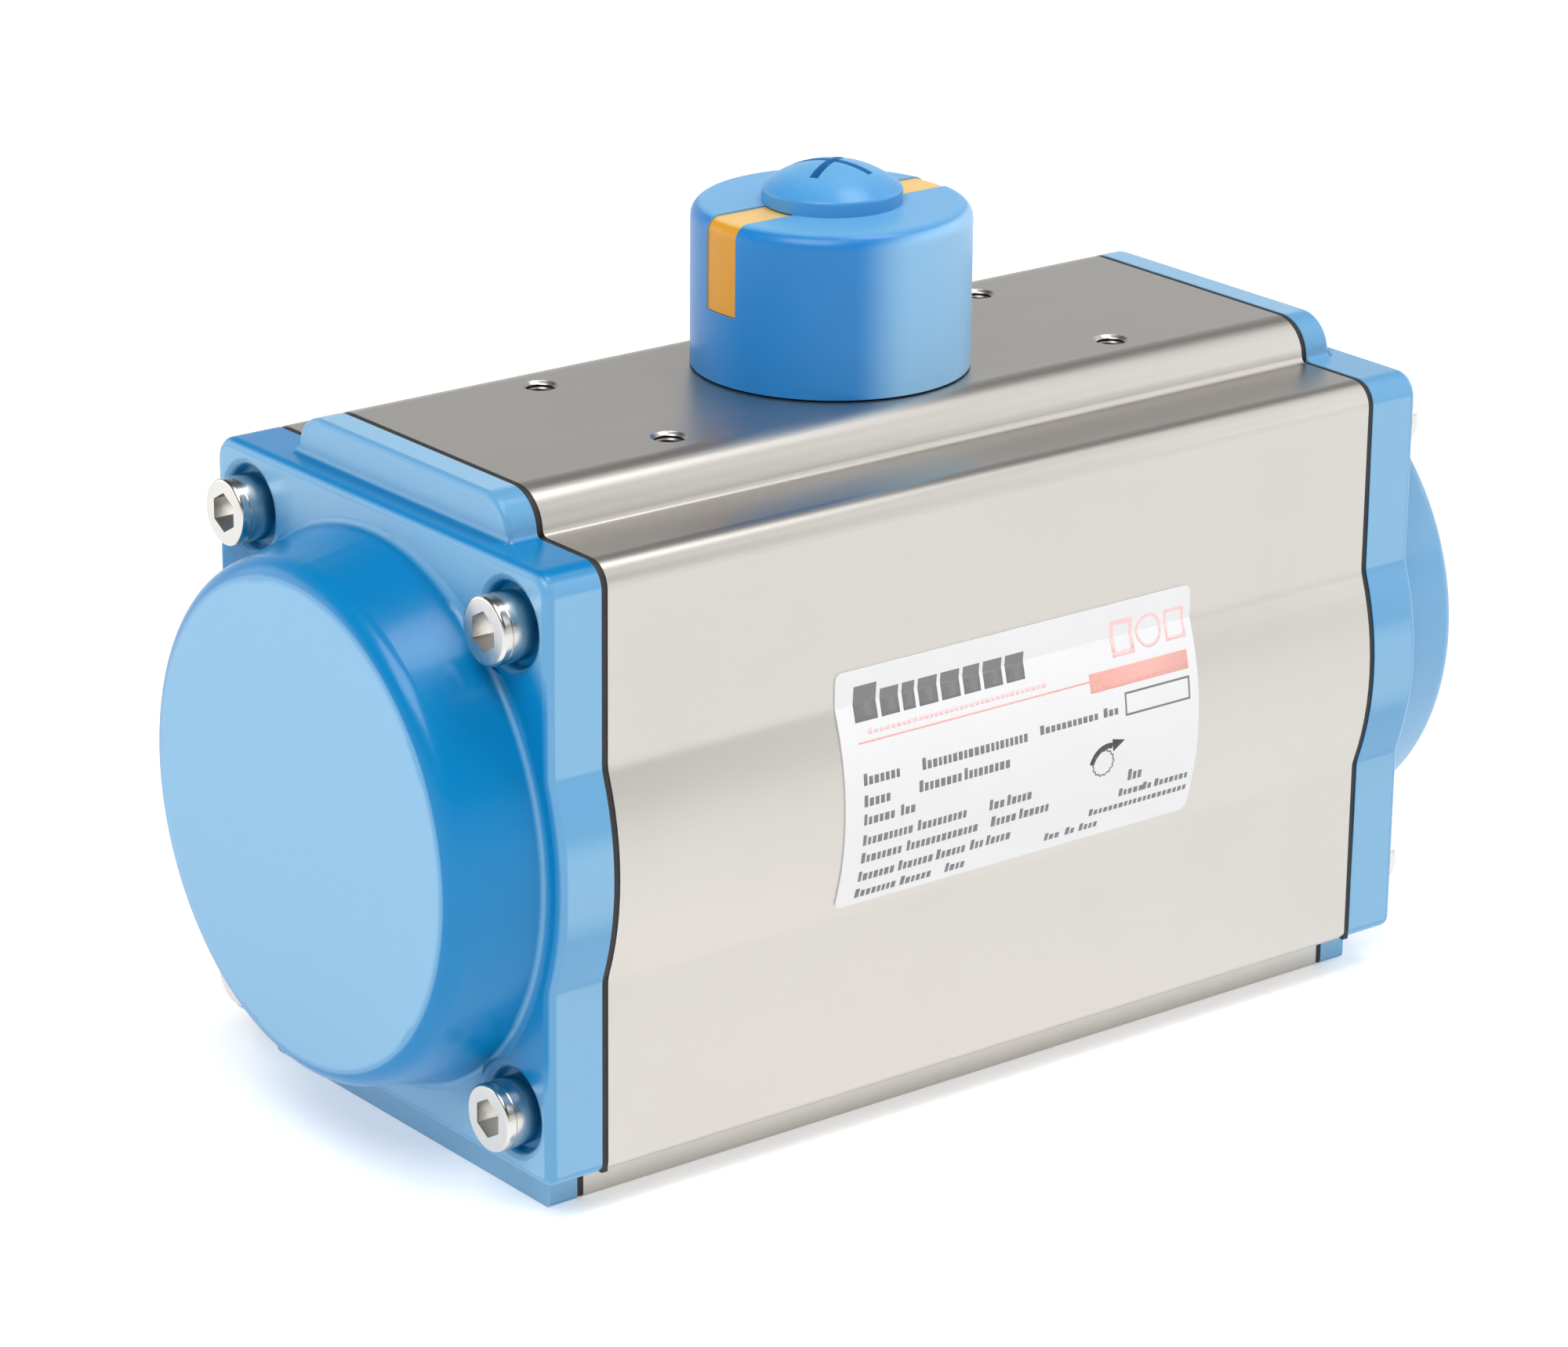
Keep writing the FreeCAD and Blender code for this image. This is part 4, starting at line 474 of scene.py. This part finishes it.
FINISHES = {
    "anodised_aluminium": anodised_extrusion(),
    "cast_aluminium": cast_aluminium(),
    "blue_coating": blue_coating(),
    "stainless_steel": bright_steel("stainless_turned", STAINLESS_GREY, 0.22, from_screw_axes),
    "plated_steel": bright_steel("nickel_plated_steel", NICKEL_GREY, 0.27, from_shaft),
    "blue_plastic": moulded_plastic(
        "blue_nylon", NYLON_BLUE, lit_top_colour=NYLON_LIT_TOP_BLUE, lit_side_colour=NYLON_LIT_SIDE_BLUE
    ),
    "yellow_plastic": moulded_plastic("yellow_nylon", NYLON_YELLOW, 0.5, NYLON_LIT_TOP_YELLOW),
    "bearing_plastic": moulded_plastic("natural_acetal", ACETAL_CREAM, 0.4),
    "black_rubber": black_rubber(),
    "label_film": label_film(),
}

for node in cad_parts.values():
    for place in node.material_slots:
        place.material = FINISHES[place.material.name]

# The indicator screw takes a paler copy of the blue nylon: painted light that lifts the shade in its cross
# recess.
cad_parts["indicator_screw"].material_slots[0].material = moulded_plastic(
    "blue_nylon_screw", NYLON_SCREW_BLUE, lit_top_colour=NYLON_LIT_TOP_BLUE
)


def add_object(name, shape, material):
    """Turns a finished shape into an object of the scene, with one material."""
    mesh = bpy.data.meshes.new(name)
    shape.to_mesh(mesh)
    shape.free()
    mesh.materials.append(material)
    made = bpy.data.objects.new(name, mesh)
    bpy.context.scene.collection.objects.link(made)
    return made


# ---------------------------------------------------------------------------------------------
# Stop screws with their real thread
# ---------------------------------------------------------------------------------------------

THREAD_RADIUS = 4.0 * MM
THREAD_DEPTH = 0.68 * MM
THREAD_PITCH = 1.25 * MM
POINT_RADIUS = 3.1 * MM
OUTER_END_RADIUS = 3.55 * MM
SOCKET_FLATS = 4.0 * MM
SOCKET_DEEP = 5.0 * MM
SHARPEST_SMOOTH_EDGE = math.radians(35)

# The crest and the root of the thread each take this part of its pitch.
FLAT_PART = 0.15

# The mesh has this many rows of points for each pitch, and each row has its points at these turns.
ROWS_PER_TURN = 6
POINTS_IN_ROW = 36
TURNS = [FULL_TURN * point / POINTS_IN_ROW for point in range(POINTS_IN_ROW)]


def thread_radius(along, turn):
    """The radius of a right-hand thread with flat crests and roots."""
    phase = (along / THREAD_PITCH - turn / FULL_TURN) % 1.0
    slope = (abs(2.0 * phase - 1.0) - FLAT_PART) / (1.0 - 2.0 * FLAT_PART)
    return THREAD_RADIUS - THREAD_DEPTH * min(max(slope, 0.0), 1.0)


def hexagon_radius(turn):
    """The distance from the middle of the hexagon socket to its wall."""
    sixth = math.pi / 3.0
    return SOCKET_FLATS / 2.0 / math.cos((turn + sixth / 2.0) % sixth - sixth / 2.0)


def row_of_points(shape, axis, along, radii):
    """A closed row of points round a screw's axis, at a place along +Y, with a radius for each turn."""
    return [
        shape.verts.new((axis.x + radius * math.sin(turn), along, axis.z + radius * math.cos(turn)))
        for turn, radius in zip(TURNS, radii)
    ]


def join_rows(shape, first, second):
    """A band of faces between two rows of points."""
    for point in range(POINTS_IN_ROW):
        after = (point + 1) % POINTS_IN_ROW
        shape.faces.new((first[point], first[after], second[after], second[point]))


def stop_screw_rows(shape, low, high, axis):
    """The rows of points of a grub screw, from its inner point to the bottom of its hexagon socket."""
    last = round((high.y - low.y) / THREAD_PITCH * ROWS_PER_TURN)
    rows = []
    for number in range(last + 1):
        along = low.y + (high.y - low.y) * number / last
        chamfer = min(POINT_RADIUS + along - low.y, OUTER_END_RADIUS + high.y - along)
        radii = [min(chamfer, thread_radius(along, turn)) for turn in TURNS]
        rows.append(row_of_points(shape, axis, along, radii))
    socket = [hexagon_radius(turn) for turn in TURNS]
    rows.append(row_of_points(shape, axis, high.y, socket))
    rows.append(row_of_points(shape, axis, high.y - SOCKET_DEEP, socket))
    return rows


def threaded_stop_screw(node, body):
    """A grub screw: flat point inside, helical thread, chamfered outer end with a hexagon socket."""
    shape = bmesh.new()
    rows = stop_screw_rows(shape, *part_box(node), middle(node))
    for first, second in zip(rows, rows[1:]):
        join_rows(shape, first, second)
    shape.faces.new(rows[0])
    shape.faces.new(rows[-1])
    bmesh.ops.recalc_face_normals(shape, faces=shape.faces)
    for face in shape.faces:
        face.smooth = True
    for edge in shape.edges:
        edge.smooth = edge.calc_face_angle(0.0) < SHARPEST_SMOOTH_EDGE
    screw = add_object(node + "_threaded", shape, FINISHES["plated_steel"])
    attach(screw, body)
    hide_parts(node)


threaded_stop_screw("left_stop_screw", "left_stop")
threaded_stop_screw("right_stop_screw", "right_stop")


# ---------------------------------------------------------------------------------------------
# Print on the name label: plain blocks, bars and signs instead of any lettering
# ---------------------------------------------------------------------------------------------

# On the label, across and down are fractions of its width and height from its upper left corner.
LABEL_WIDE = LABEL_HIGH.x - LABEL_LOW.x
LABEL_TALL = LABEL_HIGH.z - LABEL_LOW.z
INK_LIFT = 0.010 * MM
INK_THICK = 0.008 * MM
CUT_TOLERANCE = 1e-7
BACKMOST_NORMAL = -0.7
TEXT_SEED = 11
LINE_SEED = 5

# Words: the width of their blocks, the gap between them, and how tall the first and the others are.
BLOCK_NARROW, BLOCK_WIDE = 0.008, 0.012
BLOCK_GAP = 0.0045
FIRST_BLOCK_TALL, BLOCK_TALL = 0.85, 0.6

# Heading: its place, its blocks' widths, their gap and lean, and the top of the first and the others.
TITLE_LEFT, TITLE_BOTTOM = 0.045, 0.215
TITLE_WIDTHS = (0.062, 0.050, 0.034, 0.052, 0.052, 0.046, 0.052, 0.052)
TITLE_GAP = 0.010
TITLE_LEAN = 0.004
TITLE_FIRST_TOP, TITLE_TOP = 0.07, 0.105

# Rows of words: how far down, how tall, and the left and right end of each word.
TEXT_ROWS = (
    (0.44, 0.058, ((0.050, 0.150), (0.210, 0.500))),
    (0.53, 0.058, ((0.050, 0.120), (0.200, 0.310), (0.325, 0.450))),
    (0.61, 0.055, ((0.050, 0.135), (0.150, 0.185))),
    (0.70, 0.055, ((0.050, 0.185), (0.200, 0.330), (0.400, 0.435), (0.450, 0.510))),
    (0.78, 0.055, ((0.050, 0.160), (0.175, 0.370), (0.410, 0.470), (0.490, 0.570))),
    (0.865, 0.055, ((0.050, 0.145), (0.160, 0.250), (0.265, 0.345), (0.360, 0.390), (0.405, 0.475))),
    (0.945, 0.050, ((0.050, 0.160), (0.175, 0.260), (0.300, 0.345))),
    (0.435, 0.045, ((0.540, 0.700), (0.722, 0.765))),
    (0.740, 0.060, ((0.800, 0.835),)),
    (0.815, 0.042, ((0.780, 0.840), (0.850, 0.875), (0.885, 0.975))),
    (0.875, 0.038, ((0.700, 0.985),)),
    (0.935, 0.042, ((0.580, 0.610), (0.640, 0.665), (0.680, 0.730))),
)


def on_label(across, down):
    """A place on the label; Y is left at 0, because the ink takes it from the label's face."""
    return Vector((LABEL_LOW.x + across * LABEL_WIDE, 0.0, LABEL_HIGH.z - down * LABEL_TALL))


def bar(left, right, top, bottom, lean=0.0):
    """An upright bar whose top leans to the right by a fraction of the label's width."""
    return [
        on_label(left + lean, top),
        on_label(right + lean, top),
        on_label(right, bottom),
        on_label(left, bottom),
    ]


def frame_bars(left, right, top, bottom, line):
    """The four sides of an empty box; line is their width as a fraction of the label's height."""
    side = line * LABEL_TALL / LABEL_WIDE
    return [
        bar(left, right, top, top + line),
        bar(left, right, bottom - line, bottom),
        bar(left, left + side, top + line, bottom - line),
        bar(right - side, right, top + line, bottom - line),
    ]


def arc_bars(centre, radius, line, start, end, pieces, wave=0.0):
    """A round stroke of short bars, drawn clockwise.

    Radius, line and wave are in metres. Start and end are in degrees, anticlockwise from the right. The
    wave moves the corners inward and outward by turns.
    """
    corners = []
    for step in range(pieces + 1):
        turn = math.radians(start + (end - start) * step / pieces)
        ray = Vector((math.cos(turn), 0.0, math.sin(turn)))
        outer = centre + ray * (radius + wave * (-1) ** step + line / 2)
        inner = centre + ray * (radius + wave * (-1) ** step - line / 2)
        corners.append((outer, inner))
    return [
        [near_outer, far_outer, far_inner, near_inner]
        for (near_outer, near_inner), (far_outer, far_inner) in zip(corners, corners[1:])
    ]


def word(draw, left, right, middle_down, tall):
    """A row of small blocks that stands for a word; tall is a fraction of the label's height."""
    bars = []
    across = left
    bottom = middle_down + tall / 2
    while across < right:
        wide = draw.uniform(BLOCK_NARROW, BLOCK_WIDE)
        rise = tall * (FIRST_BLOCK_TALL if across == left else BLOCK_TALL)
        bars.append(bar(across, across + wide, bottom - rise, bottom))
        across += wide + BLOCK_GAP
    return bars


def label_face():
    """The front faces of the label, as their own mesh."""
    skin = bmesh.new()
    skin.from_mesh(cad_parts["name_label"].data)
    hidden = [face for face in skin.faces if face.normal.y > BACKMOST_NORMAL]
    bmesh.ops.delete(skin, geom=hidden, context="FACES")
    mesh = bpy.data.meshes.new("label_face")
    skin.to_mesh(mesh)
    skin.free()
    return mesh


def print_on_label(name, outlines, ink):
    """Cuts the outlines out of the label's face and lays them on it as one thin closed layer of ink."""
    layer = bmesh.new()
    cut = bpy.data.meshes.new(name + "_cut")
    for outline in outlines:
        patch = bmesh.new()
        patch.from_mesh(LABEL_FACE)
        for start, end in zip(outline, outline[1:] + outline[:1]):
            along = end - start
            outward = Vector((-along.z, 0.0, along.x)).normalized()
            everything = patch.verts[:] + patch.edges[:] + patch.faces[:]
            bmesh.ops.bisect_plane(
                patch, geom=everything, dist=CUT_TOLERANCE,
                plane_co=start, plane_no=outward, clear_outer=True,
            )
        bmesh.ops.translate(patch, verts=patch.verts, vec=(0.0, -INK_LIFT, 0.0))
        bmesh.ops.solidify(patch, geom=patch.faces[:], thickness=INK_THICK)
        patch.to_mesh(cut)
        patch.free()
        layer.from_mesh(cut)
    bpy.data.meshes.remove(cut)
    bmesh.ops.recalc_face_normals(layer, faces=layer.faces)
    printed = add_object(name, layer, ink)
    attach(printed, "housing")


def print_title():
    """A heading of bold blocks, the first one taller."""
    blocks = []
    across = TITLE_LEFT
    for number, wide in enumerate(TITLE_WIDTHS):
        top = TITLE_TOP if number else TITLE_FIRST_TOP
        blocks.append(bar(across, across + wide, top, TITLE_BOTTOM, TITLE_LEAN))
        across += wide + TITLE_GAP
    print_on_label("label_print_title", blocks, printed_ink("ink_dark_grey", (0.17, 0.17, 0.175)))


def print_text():
    """The rows of words, the empty box and the wavy ring under the turning sign."""
    draw = random.Random(TEXT_SEED)
    bars = []
    for down, tall, words in TEXT_ROWS:
        for left, right in words:
            bars += word(draw, left, right, down, tall)
    bars += frame_bars(left=0.785, right=0.975, top=0.375, bottom=0.475, line=0.009)
    ring = on_label(across=0.722, down=0.655)
    bars += arc_bars(ring, radius=1.9 * MM, line=0.26 * MM, start=360, end=0, pieces=28, wave=0.12 * MM)
    print_on_label("label_print_text", bars, printed_ink("ink_grey", (0.17, 0.17, 0.18)))


def print_turning_sign():
    """A thick arrow that bends over the ring."""
    centre = on_label(across=0.735, down=0.675)
    stroke = arc_bars(centre, radius=3.1 * MM, line=0.85 * MM, start=165, end=75, pieces=10)
    tip = centre + Vector((3.1 * MM, 0.0, 3.4 * MM))
    back = centre + Vector((0.7 * MM, 0.0, 3.0 * MM))
    head = [back + Vector((0.0, 0.0, 0.95 * MM)), tip, back + Vector((0.25 * MM, 0.0, -0.95 * MM))]
    print_on_label("label_print_sign", stroke + [head], printed_ink("ink_black", (0.045, 0.045, 0.05)))


def print_red():
    """A filled field and the rule that leads to it."""
    field = bar(left=0.690, right=0.975, top=0.265, bottom=0.345)
    rule = bar(left=0.045, right=0.690, top=0.292, bottom=0.299)
    print_on_label("label_print_red", [field, rule], printed_ink("ink_red", (0.80, 0.40, 0.35)))


def print_pink():
    """Three plain marks in the upper right corner, and a small line under the heading."""
    draw = random.Random(LINE_SEED)
    ring = on_label(across=0.876, down=0.150)
    marks = frame_bars(left=0.765, right=0.830, top=0.075, bottom=0.225, line=0.020)
    marks += arc_bars(ring, radius=2.2 * MM, line=0.45 * MM, start=360, end=0, pieces=24)
    marks += frame_bars(left=0.922, right=0.980, top=0.085, bottom=0.215, line=0.014)
    marks += word(draw, left=0.075, right=0.560, middle_down=0.255, tall=0.026)
    print_on_label("label_print_pink", marks, printed_ink("ink_pink", (0.83, 0.53, 0.52)))


LABEL_FACE = label_face()
print_title()
print_text()
print_turning_sign()
print_red()
print_pink()
bpy.data.meshes.remove(LABEL_FACE)


# ---------------------------------------------------------------------------------------------
# Floor, lights and camera
# ---------------------------------------------------------------------------------------------

TABLE_RADIUS = 12.0
TABLE_SIDES = 96

# The table glows less near the object, up to the first distance, than beyond the second one, as painted
# shade round the object.
NEAR_GLOW, FAR_GLOW = 0.4, 0.9
NEAR_EDGE, FAR_EDGE = 0.3, 1.4

# Softboxes: name, azimuth and elevation in degrees, distance, width and height in metres, and watts.
SOFTBOXES = (
    ("key_softbox", -62, 56, 1.2, 0.7, 0.7, 11),
    ("top_softbox", 60, 72, 1.3, 0.5, 0.5, 7),
    ("right_softbox", 66, 27, 1.5, 1.7, 1.2, 9.5),
    ("left_softbox", -140, 12, 1.2, 0.9, 0.45, 2.5),
)

# The room is dark overhead. A pale cloth hangs all round it, which fades out from the first elevation to
# the second, in degrees. The backdrop behind the object reaches higher; its middle is at an azimuth, and
# its edges are cosines of the angle from there, from dark to pale.
WHITE = (1.0, 1.0, 1.0, 1.0)
ROOM_GLOW = 0.07
CLOTH_GLOW = 0.9
CLOTH_TOP = (9, 19)
BACKDROP_TOP = (12, 46)
BACKDROP_AZIMUTH = 150
BACKDROP_EDGES = (-0.3, 0.7)


def pale_floor():
    """A wide round white table that glows a little, as a lit photo table does, with painted shade near the
    object.
    """
    finish = Finish("white_table", TABLE_WHITE, 0.6)
    finish.tone(finish.noise(0.4, detail=2.0), spread=0.01)
    finish.gloss(finish.noise(0.05, detail=2.0), spread=0.05)
    finish.relief((finish.noise(1.5 * MM, detail=2.0), 0.01 * MM))
    finish.shader.inputs["Emission Color"].default_value = WHITE
    distance = finish.node("ShaderNodeVectorMath", {0: finish.place}, operation="LENGTH").outputs["Value"]
    glow = finish.between(finish.mask(distance, NEAR_EDGE, FAR_EDGE), NEAR_GLOW, FAR_GLOW)
    finish.tree.links.new(glow, finish.shader.inputs["Emission Strength"])
    shape = bmesh.new()
    bmesh.ops.create_circle(shape, cap_ends=True, segments=TABLE_SIDES, radius=TABLE_RADIUS)
    floor = add_object("photo_table", shape, finish.material)
    floor.location.z = CAD_BOX[0].z


def softbox(name, azimuth, elevation, distance, width, height, watts):
    """A rectangular area light that faces the middle of the object."""
    light = bpy.data.lights.new(name, "AREA")
    light.shape = "RECTANGLE"
    light.size, light.size_y = width, height
    light.energy = watts
    lamp = bpy.data.objects.new(name, light)
    towards = direction(azimuth, elevation)
    lamp.location = Vector((0.0, 0.0, BORE_HEIGHT)) + towards * distance
    lamp.rotation_mode = "QUATERNION"
    lamp.rotation_quaternion = towards.to_track_quat("Z", "Y")
    bpy.context.scene.collection.objects.link(lamp)


def studio_world():
    """A dark room with a pale cloth all round at the height of the horizon, raised behind the object."""
    world = bpy.data.worlds.new("studio_room")
    world.use_nodes = True
    tree = world.node_tree
    background = tree.nodes["Background"]
    background.inputs["Color"].default_value = WHITE
    place = tree.nodes.new("ShaderNodeTexCoord").outputs["Generated"]
    behind = fade(tree, place, direction(BACKDROP_AZIMUTH, 0), *BACKDROP_EDGES)
    raised = fade_overhead(tree, place, *BACKDROP_TOP)
    cloth = fade_overhead(tree, place, *CLOTH_TOP)
    backdrop = joined(tree, "MAXIMUM", joined(tree, "MULTIPLY", behind, raised), cloth)
    ramp = tree.nodes.new("ShaderNodeMapRange")
    ramp.inputs["To Min"].default_value = ROOM_GLOW
    ramp.inputs["To Max"].default_value = CLOTH_GLOW
    tree.links.new(backdrop, ramp.inputs["Value"])
    tree.links.new(ramp.outputs["Result"], background.inputs["Strength"])
    bpy.context.scene.world = world


def fade_overhead(tree, place, pale_up_to, dark_from):
    """1 up to one elevation and 0 from a higher one on, with a smooth step between."""
    return fade(tree, place, direction(0, -90), direction(0, -dark_from).z, direction(0, -pale_up_to).z)


def fade(tree, place, towards, start, end):
    """0 to 1 as the part of the view direction along an axis goes from start to end."""
    facing = tree.nodes.new("ShaderNodeVectorMath")
    facing.operation = "DOT_PRODUCT"
    facing.inputs[1].default_value = towards
    tree.links.new(place, facing.inputs[0])
    ramp = tree.nodes.new("ShaderNodeMapRange")
    ramp.interpolation_type = "SMOOTHSTEP"
    ramp.inputs["From Min"].default_value = start
    ramp.inputs["From Max"].default_value = end
    tree.links.new(facing.outputs["Value"], ramp.inputs["Value"])
    return ramp.outputs["Result"]


def joined(tree, operation, first, second):
    """One arithmetic step in the world's nodes."""
    step = tree.nodes.new("ShaderNodeMath")
    step.operation = operation
    tree.links.new(first, step.inputs[0])
    tree.links.new(second, step.inputs[1])
    return step.outputs[0]


def photo_camera():
    """A long lens in front, to the left of the name label and above the object."""
    azimuth, elevation, roll = -38.32, 19.70, 0.59
    distance, focal_length = 818.66 * MM, 126.57
    aim_right, aim_up = -5.58 * MM, 48.83 * MM
    back = direction(azimuth, elevation)
    level = (-back).cross(Vector((0.0, 0.0, 1.0))).normalized()
    upright = level.cross(-back)
    turn = math.radians(roll)
    right = level * math.cos(turn) + upright * math.sin(turn)
    up = upright * math.cos(turn) - level * math.sin(turn)
    lens = bpy.data.cameras.new("photo_camera")
    lens.sensor_width, lens.lens = 36.0, focal_length
    lens.clip_start, lens.clip_end = 0.01, 60.0
    camera = bpy.data.objects.new("photo_camera", lens)
    place = right * aim_right + up * aim_up + back * distance
    camera.matrix_world = Matrix.Translation(place) @ Matrix((right, up, back)).transposed().to_4x4()
    bpy.context.scene.collection.objects.link(camera)
    bpy.context.scene.camera = camera


pale_floor()
studio_world()
for settings in SOFTBOXES:
    softbox(*settings)
photo_camera()
bpy.context.scene.view_settings.view_transform = "Standard"
